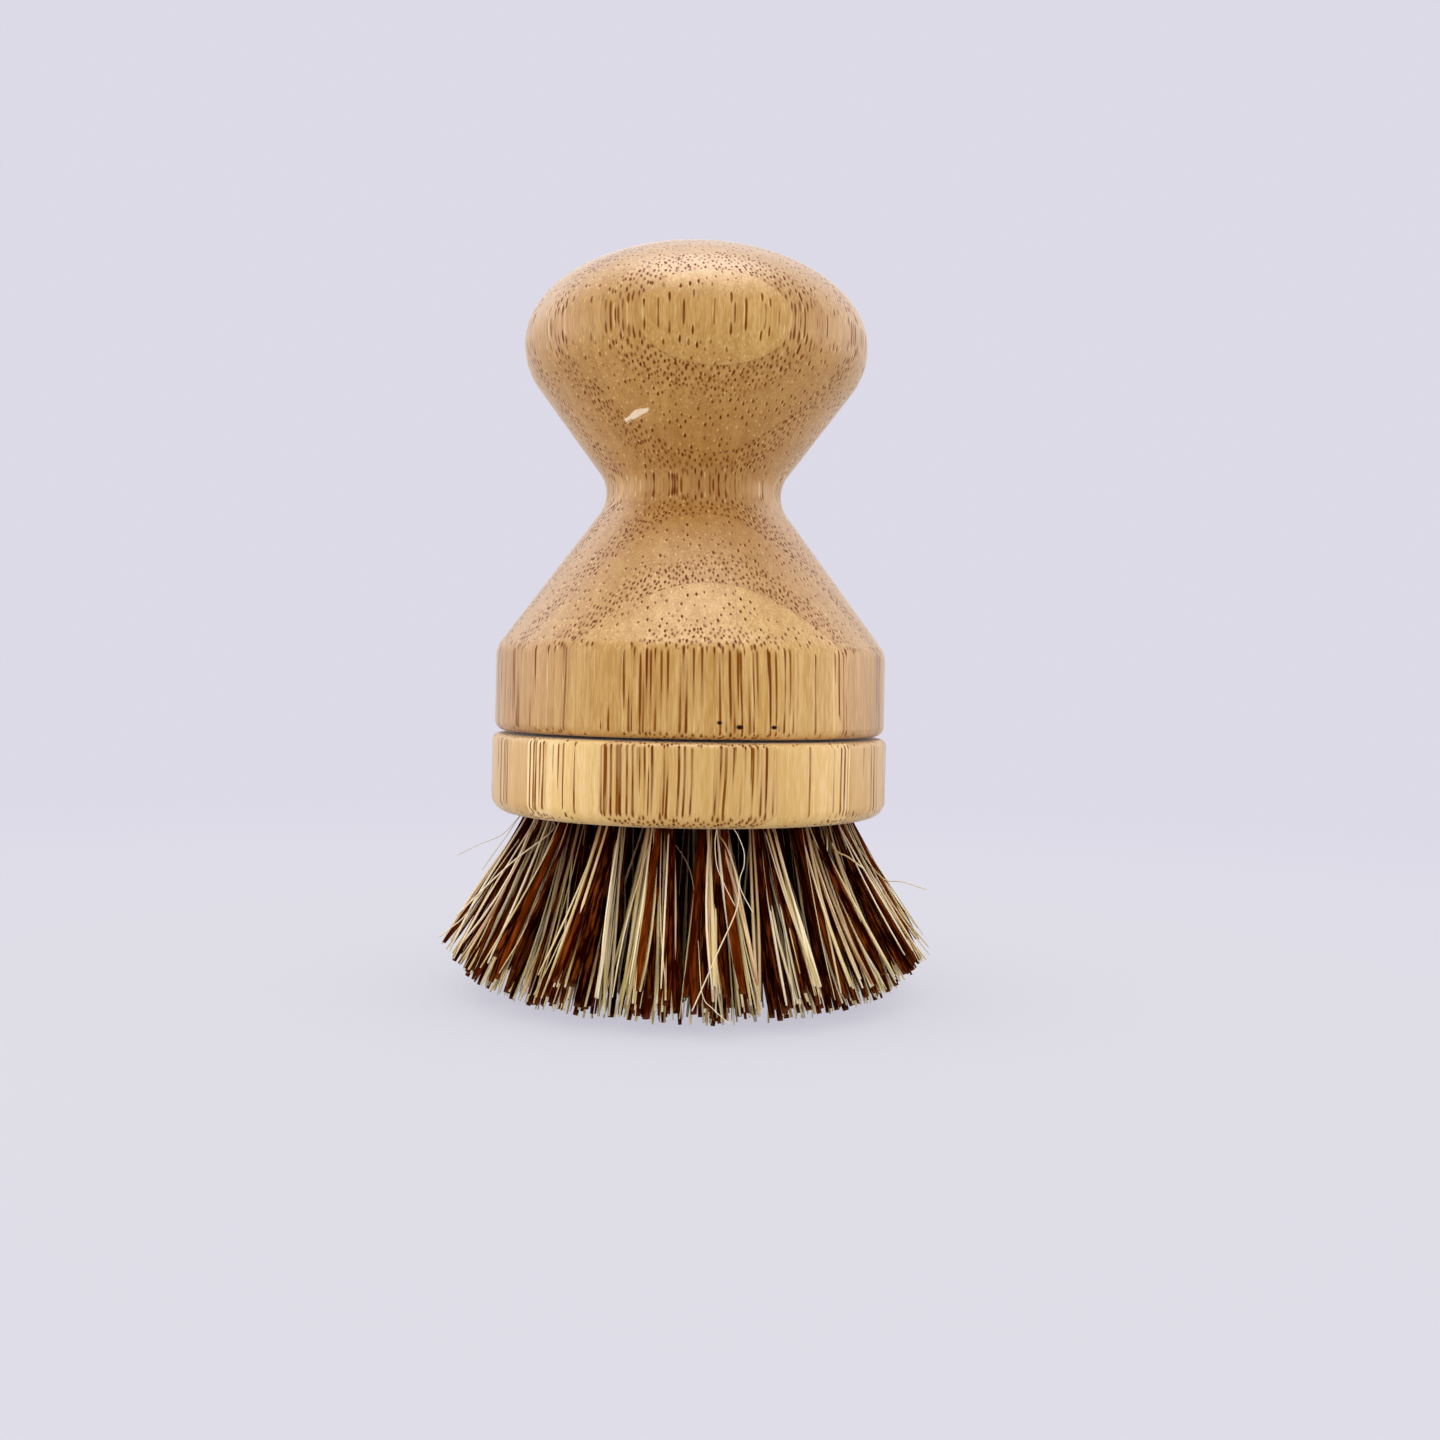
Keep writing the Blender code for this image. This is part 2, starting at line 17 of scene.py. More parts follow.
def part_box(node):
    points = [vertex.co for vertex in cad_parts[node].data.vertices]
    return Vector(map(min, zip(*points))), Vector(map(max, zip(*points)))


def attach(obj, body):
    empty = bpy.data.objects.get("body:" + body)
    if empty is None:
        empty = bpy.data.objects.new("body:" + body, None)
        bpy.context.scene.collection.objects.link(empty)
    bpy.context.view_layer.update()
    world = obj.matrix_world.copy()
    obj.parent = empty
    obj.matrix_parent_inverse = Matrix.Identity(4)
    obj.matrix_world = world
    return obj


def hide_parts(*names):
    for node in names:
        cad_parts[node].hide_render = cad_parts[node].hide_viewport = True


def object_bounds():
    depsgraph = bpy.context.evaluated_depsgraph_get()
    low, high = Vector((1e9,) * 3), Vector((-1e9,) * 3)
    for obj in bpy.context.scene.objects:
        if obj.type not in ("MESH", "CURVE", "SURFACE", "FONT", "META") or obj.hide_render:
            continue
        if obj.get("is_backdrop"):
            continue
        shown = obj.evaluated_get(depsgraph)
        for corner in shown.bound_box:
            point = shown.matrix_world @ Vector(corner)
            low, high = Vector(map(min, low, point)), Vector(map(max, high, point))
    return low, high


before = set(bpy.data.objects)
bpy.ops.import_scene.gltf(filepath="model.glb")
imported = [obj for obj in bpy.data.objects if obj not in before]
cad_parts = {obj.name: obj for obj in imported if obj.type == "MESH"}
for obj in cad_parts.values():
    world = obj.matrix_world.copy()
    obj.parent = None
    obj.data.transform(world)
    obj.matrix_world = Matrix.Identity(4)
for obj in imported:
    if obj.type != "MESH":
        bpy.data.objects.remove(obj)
cad_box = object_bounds()

# %% [markdown]
# ## The sizes that pieces share
#
# Blender works in metres, but a brush is easier to think of in millimetres, so all shapes are worked
# out in millimetres and turned into metres when a mesh is filled. Heights are read from the CAD solids
# instead of being typed again: a piece then still fits if the brush is made taller.

# %% Heights and widths of the main pieces, in millimetres
MM = 0.001


def cad_corners(node):
    """A CAD solid's lowest and highest corners, in millimetres."""
    low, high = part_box(node)
    return np.array(low) / MM, np.array(high) / MM


head_low, head_high = cad_corners("head_disc")
HEAD_BOTTOM, HEAD_TOP, HEAD_RADIUS = head_low[2], head_high[2], head_high[0]
HANDLE_BOTTOM = cad_corners("handle")[0][2]
print(f"head {HEAD_BOTTOM:.2f} to {HEAD_TOP:.2f} mm, radius {HEAD_RADIUS:.2f} mm")

# %% [markdown]
# ## The camera
#
# The photograph was taken from close by, at about the height of the joint between head and handle, so
# the head's underside stays hidden and the knob is seen slightly from below. The camera looks level
# along +Y and is rolled a little. The brush stands left of the picture's middle and the camera isn't
# turned towards it, so the lens is shifted instead, which keeps upright lines upright.

# %% Camera
EYE = Vector((0.0, -207.0, 41.5)) * MM
ROLL = math.radians(1.04)

camera_lens = bpy.data.cameras.new("camera")
camera_lens.sensor_width = 36.0
camera_lens.lens = 38.84
camera_lens.shift_x = 0.0206
camera_lens.shift_y = -0.0305
camera_lens.clip_start = 0.01
camera = bpy.data.objects.new("camera", camera_lens)
bpy.context.scene.collection.objects.link(camera)
looks_level = Matrix.Rotation(math.pi / 2, 4, "X")
camera.matrix_world = Matrix.Translation(EYE) @ looks_level @ Matrix.Rotation(ROLL, 4, "Z")
bpy.context.scene.camera = camera
bpy.context.scene.view_settings.view_transform = "Standard"
PHOTO_WIDTH = 1440
PIXELS_WIDE = PHOTO_WIDTH * camera_lens.lens / camera_lens.sensor_width


def seen_at(right, down, y):
    """The point at depth y that the photograph shows this many pixels from its left and top edges."""
    depth = y - EYE.y / MM
    beside = (right - PHOTO_WIDTH * (0.5 - camera_lens.shift_x)) / PIXELS_WIDE * depth
    above = (PHOTO_WIDTH * (0.5 + camera_lens.shift_y) - down) / PIXELS_WIDE * depth
    return np.array(camera.matrix_world @ (Vector((beside, above, -depth)) * MM)) / MM


print("the knob's top is about", seen_at(688.0, 245.0, -10.0).round(1), "mm")

# %% [markdown]
# ## Writing a material as sums
#
# A node tree is a formula. Drawn by hand it is quick to read, but in a script each node and link would
# take several lines. So a small class wraps a node's output, and Python's own signs add Math nodes:
# `1 - mask` makes one node and returns its output. All other nodes come from one method, which takes
# the node's type, its settings and what goes into its sockets.

# %% An output that can be reckoned with


class Signal:
    """One output of a node. Sums on it add Math nodes to the same tree."""

    def __init__(self, nodes, socket):
        self.nodes = nodes
        self.socket = socket

    def __add__(self, other):
        return self.nodes.maths("ADD", self, other)

    def __sub__(self, other):
        return self.nodes.maths("SUBTRACT", self, other)

    def __rsub__(self, other):
        return self.nodes.maths("SUBTRACT", other, self)

    def __mul__(self, other):
        return self.nodes.maths("MULTIPLY", self, other)

    def __truediv__(self, other):
        return self.nodes.maths("DIVIDE", self, other)

    def __lt__(self, other):
        return self.nodes.maths("LESS_THAN", self, other)

    def larger(self, other):
        return self.nodes.maths("MAXIMUM", self, other)

    __radd__ = __add__
    __rmul__ = __mul__

    def floor(self):
        return self.nodes.maths("FLOOR", self)

    def size(self):
        """The number without its sign."""
        return self.nodes.maths("ABSOLUTE", self)

    def rise(self, start, end):
        """0 up to start, 1 from end on, and a smooth climb in between."""
        return self.nodes.node("MapRange", {"interpolation_type": "SMOOTHSTEP"},
                                {"Value": self, "From Min": start, "From Max": end})

    def output(self, name):
        """Another output of the same node."""
        return Signal(self.nodes, self.socket.node.outputs[name])

    def swing(self, width):
        """Climbs from 0 to width and falls back to 0, over and over."""
        return self.nodes.maths("PINGPONG", self, width)

    def parts(self):
        """The three numbers of a vector or colour."""
        split = self.nodes.node("SeparateXYZ", {}, {"Vector": self})
        return split, split.output("Y"), split.output("Z")


# %% The tree that the nodes go into
class Nodes:
    """Adds nodes to one tree, with the few kinds of node that this brush needs as methods."""

    def __init__(self, tree):
        self.tree = tree

    def node(self, kind, settings, values, output=0):
        """Adds a node: its settings first, then a value or a link for each socket that is named."""
        made = self.tree.nodes.new("ShaderNode" + kind)
        for setting, value in settings.items():
            setattr(made, setting, value)
        for socket, value in values.items():
            if isinstance(value, Signal):
                self.tree.links.new(value.socket, made.inputs[socket])
            else:
                made.inputs[socket].default_value = value
        return Signal(self, made.outputs[output])

    def maths(self, operation, *numbers):
        return self.node("Math", {"operation": operation}, dict(enumerate(numbers)))

    def vector(self, x, y, z):
        return self.node("CombineXYZ", {}, {"X": x, "Y": y, "Z": z})

    def place(self):
        """Where the point lies on the piece, as three numbers in millimetres."""
        x, y, z = self.node("TexCoord", {}, {}, "Object").parts()
        return x / MM, y / MM, z / MM

    def noise(self, x, y, z, detail=2.0):
        """Soft lumps about as wide as one unit of the numbers that go in."""
        return self.node("TexNoise", {}, {"Vector": self.vector(x, y, z), "Scale": 1.0, "Detail": detail})

    def pick(self, x, y):
        """A number from 0 to 1 that stays the same for whole x and y and jumps to the next pair."""
        return self.node("TexWhiteNoise", {"noise_dimensions": "2D"}, {"Vector": self.vector(x, y, 0.0)})

    def blend(self, share, first, second, way="MIX"):
        """Mixes two colours by a share from 0 to 1."""
        return self.node("Mix", {"data_type": "RGBA", "blend_type": way}, {0: share, 6: first, 7: second}, 2)


# %% A material with one Principled shader
class Finish(Nodes):
    """A material that is built node by node around its Principled shader."""

    def __init__(self, name, **constants):
        self.material = bpy.data.materials.new(name)
        self.material.use_nodes = True
        super().__init__(self.material.node_tree)
        self.shader = self.tree.nodes["Principled BSDF"]
        for socket, value in constants.items():
            self.shader.inputs[socket.replace("_", " ")].default_value = value

    def connect(self, **links):
        for socket, signal in links.items():
            self.tree.links.new(signal.socket, self.shader.inputs[socket.replace("_", " ")])

    def bumps(self, height, depth):
        """Lets a height from 0 to 1 tilt the surface's shading as if it stood out by depth millimetres."""
        raised = self.node("Bump", {}, {"Height": height, "Distance": depth * MM, "Strength": 1.0})
        self.tree.links.new(raised.socket, self.shader.inputs["Normal"])


print("a finish can:", [name for name in dir(Finish) if name[0] != "_"])

# %% [markdown]
# ## Bamboo that is solid all through
#
# The handle and the head are turned from a block of glued bamboo plies. A ply is about 6.9 mm thick
# and stands upright, facing the front. The handle's plies are turned a little to the right and lean.
# Inside a ply, dark bundles of fibre run from bottom to top like pencil leads: close together where the
# culm's outer skin was, and few towards its hollow. The wood darkens a little from the one side of a ply
# to the other, and some plies are darker than others: partly the bamboo's own tone, and partly painted
# shade, set so that the neck, the knob's underside and the top of the cone below, which the knob shades,
# come out darker. Where the turned surface runs along the bundles they show as rusty streaks, and where
# it cuts across them they show as dots. A pattern wrapped on the surface couldn't do both. So the colour
# is worked out from the point's place in the block: two patterns of cells seen from above give narrow
# and wide bundles, the same at every height but for a slight drift, and the lathe's shape decides what
# shows. A wide bundle has a painted highlight beside it, a pale line, and the last sums add the grain
# and the glue joints.

# %% Bundles of fibre
FINE_SPACING, WIDE_SPACING = 0.60, 0.84
DIAGONAL = 0.7071


def leads(wood, x, y, spacing, shift, radius):
    """The distance to the nearest bundle in its own radii, and two numbers that belong to that bundle.

    The cells are turned by 45 degrees, so that their rows don't line up with the front.
    """
    cells = wood.node("TexVoronoi", {"voronoi_dimensions": "2D"},
                      {"Vector": wood.vector((x + y) * (DIAGONAL / spacing) + shift,
                                             (x - y) * (DIAGONAL / spacing) + shift, 0.0),
                       "Scale": 1.0, "Randomness": 0.62})
    pick, strength, _ = cells.output("Color").parts()
    return cells / (radius + strength * 0.09), pick, strength


print("bundles are about", FINE_SPACING, "and", WIDE_SPACING, "mm apart")

# %% Bamboo
FINE_RADIUS, WIDE_RADIUS, SHINE_RADIUS = 0.165, 0.12, 0.10
WIDE_SHIFT = 4.3
CREAM = (0.95, 0.66, 0.30, 1.0)
GOLD = (0.26, 0.078, 0.001, 1.0)
RUST = (0.16, 0.027, 0.0002, 1.0)
SHADE = (0.66, 0.535, 0.31, 1.0)


def bamboo(name, first_joint, ply, first_strip, strip, pale, deep, seed, facing=0.0, tilt=0.0):
    """Solid bamboo: plies stacked along Y from first_joint on, each glued up from strips along X.

    A ply's dense side faces the front, or the back where its thickness is given as a negative number.
    Facing is how far the plies are turned to the right, and tilt how far their tops stand back, both as
    millimetres for each millimetre. Pale and deep are the ends of the grain's colours.
    """
    wood = Finish(name, Specular_IOR_Level=0.05, Coat_Roughness=0.42, Sheen_Weight=0.30, Sheen_Roughness=0.4)
    x, y, z = wood.place()
    x, y = x + y * facing, y - x * facing + z * tilt
    drift_x, drift_y, drift_z = wood.noise(x * 0.07 + seed, y * 0.07, z * 0.045, 1.0).output("Color").parts()
    lean_x = x + (drift_x - 0.5) * 1.5 + z * 0.012
    lean_y = y + (drift_y - 0.5) * 0.8

    # The ply and the strip that the point is in, and how crowded with bundles its place in the ply is
    depth = (y - first_joint) / ply
    layer = depth.floor()
    inside = depth - layer
    across = (x - first_strip) / strip + layer * 0.4
    board = across.floor()
    board_pick = wood.pick(board + seed, layer)
    shift = board_pick * 9.0
    crowded = 1.0 - (inside + (drift_z - 0.5) * 0.2).rise(0.05, 0.60)

    # Narrow and wide bundles, the stained wood round them, and a painted highlight, a pale line, beside a
    # wide one
    waver = wood.noise(lean_x * 1.6, lean_y * 1.6, z * 0.20, 1.0).rise(0.36, 0.58)
    groups = wood.noise(lean_x * 0.22 + seed, lean_y * 0.5, z * 0.03, 1.0).rise(0.38, 0.62)
    wide_shift = shift + WIDE_SHIFT
    fine_near, fine_pick, fine_strength = leads(wood, lean_x, lean_y, FINE_SPACING, shift, FINE_RADIUS)
    wide_near, wide_pick, wide_strength = leads(wood, lean_x, lean_y, WIDE_SPACING, wide_shift, WIDE_RADIUS)
    fine_dark = (1.0 - fine_near.rise(0.75, 1.2)) * (0.88 + fine_strength * 0.25) * crowded.rise(0.15, 0.6)
    kept = wide_pick < (0.18 + groups * 0.7)
    wide_dark = (1.0 - wide_near.rise(0.7, 1.2)) * (0.80 + wide_strength * 0.20) * kept
    dark = (fine_dark * (0.60 + waver * 0.60)).larger(wide_dark * (0.35 + waver * 0.90))
    halo = ((1.0 - fine_near.rise(0.9, 2.1)) * crowded).larger(wide_dark.rise(0.0, 0.5)) * 0.6
    # Painted highlight: a pale cream line on one side of each wide bundle
    beside, _, _ = leads(wood, lean_x + 0.21, lean_y + 0.1, WIDE_SPACING, wide_shift, SHINE_RADIUS)
    shine = (1.0 - beside.rise(0.4, 1.1)) * waver * 0.45

    # Wood between the pale and the deep colour, darkened by strip, ply and depth in the ply, with the
    # bundles over it. The darkening is partly the wood's own tone and partly painted shade under the knob
    grain = wood.noise(lean_x * 5.5, lean_y * 5.5, z * 0.4, 4.0)
    bands = wood.noise(lean_x * 0.9 + seed, lean_y * 0.9, z * 0.05, 2.0)
    ground = wood.blend((grain * 0.6 + bands * 0.4).rise(0.34, 0.64), pale, deep)
    # Partly the wood's own tone, partly painted shade: the neck's ply and each ply's hollow side come out
    # darkest
    tone_and_shade = board_pick * 0.25 + (layer + 1.0).swing(2.0) * 0.58 + inside * 0.34
    toned_and_shaded = wood.blend(tone_and_shade, ground, SHADE, "MULTIPLY")
    haloed = wood.blend(shine, wood.blend(halo, toned_and_shaded, GOLD), CREAM)
    lead = wood.blend(fine_pick, RUST, GOLD)
    ply_joint = (inside - 0.5).size().rise(0.485, 0.499)
    joint = ply_joint.larger((across - board - 0.5).size().rise(0.494, 0.4995))
    wood.colour = wood.blend(dark.larger(joint * 0.2), haloed, lead)
    wood.oiled = (1.0 - dark).larger(0.0)
    wood.connect(Base_Color=wood.colour, Coat_Weight=wood.oiled, Roughness=0.40 + grain * 0.12 + dark * 0.2)
    wood.bumps((1.0 - dark) * 0.8 + grain * 0.2, 0.015)
    return wood


PLY, STRIP = 6.9, 19.0
handle_bamboo = bamboo("handle_bamboo", -18.6, PLY, -4.5, STRIP, pale=(0.80, 0.490, 0.170, 1.0),
                       deep=(0.59, 0.305, 0.052, 1.0), seed=3.0, facing=0.105, tilt=0.025)
head_bamboo = bamboo("head_bamboo", -23.8, -PLY, 3.0, STRIP, pale=(1.00, 0.71, 0.340, 1.0),
                     deep=(0.86, 0.54, 0.165, 1.0), seed=8.0)
print("bamboo for", handle_bamboo.material.name, "and", head_bamboo.material.name)

# %% [markdown]
# ## Marks of use
#
# A pale shaving sticks to the front of the knob, and the handle's foot has three small pits, drawn as
# painted shade: black spots, with no hollow in the mesh. Both are masks over the bamboo's colour. The
# shaving is a line from end to end whose width is frayed by noise, and a pit is all that lies within a
# short reach of its middle, drawn wider than high.

# %% A shaving and three pits
SHAVING = ((-8.9, 73.1), (-5.6, 74.4))
PITS = ((3.5, 36.1, 0.40), (5.9, 35.6, 0.52), (10.0, 35.6, 0.46))
SHAVING_PALE, PIT_SHADE_DARK = (0.93, 0.74, 0.50, 1.0), (0.010, 0.004, 0.001, 1.0)


def marked(wood):
    """Draws the shaving and the pits' painted shade on the side of the piece that faces the front."""
    x, y, z = wood.place()
    (start_x, start_z), (end_x, end_z) = SHAVING
    long, rise = end_x - start_x, end_z - start_z
    length = math.hypot(long, rise)
    along = ((x - start_x) * long + (z - start_z) * rise) / length ** 2
    beside = ((z - start_z) * long - (x - start_x) * rise) / length
    frays = wood.noise(along * 3.0, beside * 9.0, along * 0.5, 4.0)
    width = (along - 0.5).size() * -0.45 + frays * 1.7 - 0.45
    front = y < 0.0
    ends = 1.0 - (along - 0.5).size().rise(0.40, 0.5)
    shaving = (width - beside.size()).rise(-0.04, 0.06) * ends * front
    # Painted shade of the pits: near-black spots where the mesh has no hollow
    pit_shade = front * 0.0
    for pit_x, pit_z, reach in PITS:
        spread = wood.node("VectorMath", {"operation": "LENGTH"},
                           {0: wood.vector(x - pit_x, (z - pit_z) * 1.5, 0.0)}, 1)
        pit_shade = pit_shade.larger((1.0 - (spread + frays * 0.2).rise(reach * 0.7, reach * 1.3)) * front)
    pale = wood.blend(shaving, wood.colour, SHAVING_PALE)
    wood.connect(Base_Color=wood.blend(pit_shade, pale, PIT_SHADE_DARK), Coat_Weight=wood.oiled * (1.0 - pit_shade))


marked(handle_bamboo)
print("marks:", 1 + len(PITS))

# %% [markdown]
# ## Surfaces on a grid
#
# A lathe cuts the same outline all round, so a turned piece is a grid of points: its rows follow the
# outline and its columns go round the axis. numpy works out all points at once, and the faces are the
# squares between neighbours. At the axis a row shrinks to one point, which closes the piece with a fan
# of triangles.

# %% Turned pieces
SHARP_FROM = math.radians(40)


def new_piece(name, points, faces, finishes):
    """An object at the origin that holds these points, in millimetres, and these faces."""
    mesh = bpy.data.meshes.new(name)
    mesh.from_pydata(points * MM, [], faces)
    mesh.shade_smooth()
    for finish in finishes:
        mesh.materials.append(finish)
    made = bpy.data.objects.new(name, mesh)
    bpy.context.scene.collection.objects.link(made)
    return made


def turned(name, radius, height, sides, finish, ring=False):
    """Turns an outline round the axis: x is radius times cos, y is radius times sin, z is the height.

    The outline runs down the outside, or round and back to its start where ring is True. Radius and
    height have one number a row, or a whole row of numbers where they change on the way round.
    """
    turn = np.arange(sides) * (math.tau / sides)
    radius, height = (np.broadcast_to(np.asarray(a, float).reshape(len(a), -1), (len(a), sides))
                      for a in (radius, height))
    grid = np.stack([radius * np.cos(turn), radius * np.sin(turn), height], axis=-1)
    top_closed, bottom_closed = radius[0].max() == 0, radius[-1].max() == 0
    rows = grid[int(top_closed):len(grid) - int(bottom_closed)]
    side, row = np.arange(sides), np.arange(len(rows) if ring else len(rows) - 1)[:, None]
    after, below = (side + 1) % sides, (row + 1) % len(rows)
    squares = np.stack([row * sides + side, below * sides + side, below * sides + after,
                        row * sides + after], axis=-1)
    points = rows.reshape(-1, 3)
    faces = squares.reshape(-1, 4).tolist()
    if top_closed:
        points = np.vstack([points, grid[0, 0]])
        faces += np.stack([np.full(sides, len(points) - 1), side, after], axis=-1).tolist()
    if bottom_closed:
        points = np.vstack([points, grid[-1, 0]])
        last = (len(rows) - 1) * sides
        faces += np.stack([np.full(sides, len(points) - 1), last + after, last + side], axis=-1).tolist()
    made = new_piece(name, points, faces, [finish])
    made.data.set_sharp_from_angle(angle=SHARP_FROM)
    print(f"{name}: {len(points)} points, {len(faces)} faces")
    return made


def arc(centre, radius, start, end, spacing=0.35):
    """Points on a circle in the (radius, height) plane, about spacing apart, from angle to angle."""
    steps = max(2, math.ceil(radius * abs(end - start) / spacing))
    turn = np.linspace(start, end, steps + 1)
    return np.stack([centre[0] + radius * np.cos(turn), centre[1] + radius * np.sin(turn)], axis=-1)


print("points on a 10 mm circle:", len(arc((0.0, 0.0), 10.0, 0.0, math.tau)))

# %% [markdown]
# ## The handle
#
# From the top down: a flattened dome for the palm, a rounded underside that falls into a straight cone,
# a hollow waist for the fingers, a second cone, a rounded shoulder and a straight side with a broken
# edge. Arcs that touch without a kink are what a turner's gouge leaves, and a straight line that
# touches two arcs is found from the distance between their middles. The hanger bolt's hole is drilled
# up from below.

# %% The outline of the handle
KNOB_HEIGHT, KNOB_RADIUS, KNOB_UNDERSIDE, KNOB_DOME = 50.95, 22.7, 9.3, 13.25
NECK_HEIGHT, NECK_RADIUS, NECK_HOLLOW = 31.45, 11.6, 4.65
BASE_STRAIGHT, BASE_RADIUS, BASE_EDGE, SHOULDER = 9.8, HEAD_RADIUS - 0.3, 1.3, 3.1
BOLT_HOLE, BOLT_HOLE_TOP, HOLE_EDGE, DRILL_TIP = 2.75, 20.3, 0.4, 1.6
TURNED_SIDES = 256


def touching_line(bulge, bulge_radius, hollow, hollow_radius):
    """The direction from a bulge's middle to a hollow's, and the angle from it to where a line touches."""
    away = np.subtract(hollow, bulge)
    return math.atan2(away[1], away[0]), math.acos((bulge_radius + hollow_radius) / math.hypot(*away))


def handle_outline():
    """Rows of (radius, height above the handle's underside), down the outside and up into the hole."""
    knob = (KNOB_RADIUS - KNOB_UNDERSIDE, KNOB_HEIGHT)
    neck = (NECK_RADIUS + NECK_HOLLOW, NECK_HEIGHT)
    shoulder = (BASE_RADIUS - SHOULDER, BASE_STRAIGHT)
    lean = np.linspace(0.0, math.pi / 2, 64)[:-1]
    dome = np.stack([KNOB_RADIUS * np.sin(lean), KNOB_HEIGHT + KNOB_DOME * np.cos(lean)], axis=-1)
    line, opening = touching_line(knob, KNOB_UNDERSIDE, neck, NECK_HOLLOW)
    knob_end = line + opening
    line, opening = touching_line(shoulder, SHOULDER, neck, NECK_HOLLOW)
    shoulder_start = line - opening
    return np.vstack([
        dome,
        arc(knob, KNOB_UNDERSIDE, 0.0, knob_end),
        arc(neck, NECK_HOLLOW, knob_end + math.pi, shoulder_start + math.pi),
        arc(shoulder, SHOULDER, shoulder_start, 0.0),
        arc((BASE_RADIUS - BASE_EDGE, BASE_EDGE), BASE_EDGE, 0.0, -math.pi / 2, 0.2),
        [(BOLT_HOLE + HOLE_EDGE, 0.0), (BOLT_HOLE, HOLE_EDGE), (BOLT_HOLE, BOLT_HOLE_TOP),
         (0.0, BOLT_HOLE_TOP + DRILL_TIP)],
    ])


outline = handle_outline()
handle = turned("handle_turned", outline[:, 0], outline[:, 1] + HANDLE_BOTTOM, TURNED_SIDES,
                handle_bamboo.material)
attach(handle, "handle")
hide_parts("handle")

# %% [markdown]
# ## The head and its 38 holes
#
# The head is turned like the handle, with a stepped socket for the insert in its top. Then each tuft's
# hole is drilled from below, leaning outwards so that the tuft spreads. The drill bits are one mesh of
# 38 pointed cylinders, and one modifier takes them all away at once, as a many-spindled drill would.
# To make the bits, one upright bit is leaned for each ring and carried to each hole's place.

# %% Where the tufts stand
TIP_REACH = HEAD_RADIUS + 6.3
TIP_LIFT, LEVEL_REACH = 6.0, TIP_REACH * 0.68
HOLE_RADIUS, HOLE_DEPTH, ROOT_HEIGHT = 2.0, 6.5, 1.3
RINGS = {
    "outer": dict(radius=19.9, tufts=20, first=9.0, tip=0.873 * TIP_REACH, bend=0.2, spread=0.98),
    "middle": dict(radius=13.65, tufts=12, first=15.0, tip=0.585 * TIP_REACH, bend=0.0, spread=0.9),
    "inner": dict(radius=7.4, tufts=6, first=30.0, tip=0.25 * TIP_REACH, bend=0.0, spread=0.9),
}


def tip_lift(radius):
    """How far off the floor a tip is cut: nothing near the middle, then rising ever faster outwards."""
    return TIP_LIFT * (np.maximum(0.0, radius - LEVEL_REACH) / (TIP_REACH - LEVEL_REACH)) ** 2.4


def slope(ring):
    """How far a tuft goes outwards for each millimetre that it comes down, where it leaves its hole."""
    drop = HEAD_BOTTOM - tip_lift(ring["tip"])
    return (1 - ring["bend"]) * (ring["tip"] - ring["radius"]) / (drop + ring["bend"] * ROOT_HEIGHT)


def swung(ways, ring, index):
    """Turns directions that have x outwards round the axis, to where the tuft stands."""
    turn = math.radians(ring["first"]) + math.tau * index / ring["tufts"]
    x, y = ways[..., 0], ways[..., 1]
    return np.stack([x * math.cos(turn) - y * math.sin(turn), x * math.sin(turn) + y * math.cos(turn),
                     ways[..., 2]], axis=-1)


def placed(points, ring, index):
    """Carries points from the middle of a hole's mouth, with x outwards, to where the tuft stands."""
    return swung(points + (ring["radius"], 0.0, 0.0), ring, index) + (0.0, 0.0, HEAD_BOTTOM)


print("slopes of the rings:", {name: round(float(slope(ring)), 2) for name, ring in RINGS.items()})


# %% The head
INSERT_SOCKET, FLANGE_SOCKET, SOCKET_STEP, SOCKET_DEPTH = 3.8, 4.6, 1.2, 6.3
HEAD_TOP_EDGE, HEAD_BOTTOM_EDGE = 0.9, 2.2
BIT_SIDES, BIT_POINT, BIT_OVERRUN = 20, 1.2, 1.0

head_outline = np.vstack([
    [(0.0, HEAD_TOP - SOCKET_DEPTH), (INSERT_SOCKET, HEAD_TOP - SOCKET_DEPTH),
     (INSERT_SOCKET, HEAD_TOP - SOCKET_STEP), (FLANGE_SOCKET, HEAD_TOP - SOCKET_STEP),
     (FLANGE_SOCKET, HEAD_TOP)],
    arc((HEAD_RADIUS - HEAD_TOP_EDGE, HEAD_TOP - HEAD_TOP_EDGE), HEAD_TOP_EDGE, math.pi / 2, 0.0, 0.2),
    arc((HEAD_RADIUS - HEAD_BOTTOM_EDGE, HEAD_BOTTOM + HEAD_BOTTOM_EDGE), HEAD_BOTTOM_EDGE,
        0.0, -math.pi / 2),
    [(0.0, HEAD_BOTTOM)],
])
head = turned("head_turned", head_outline[:, 0], head_outline[:, 1], TURNED_SIDES, head_bamboo.material)


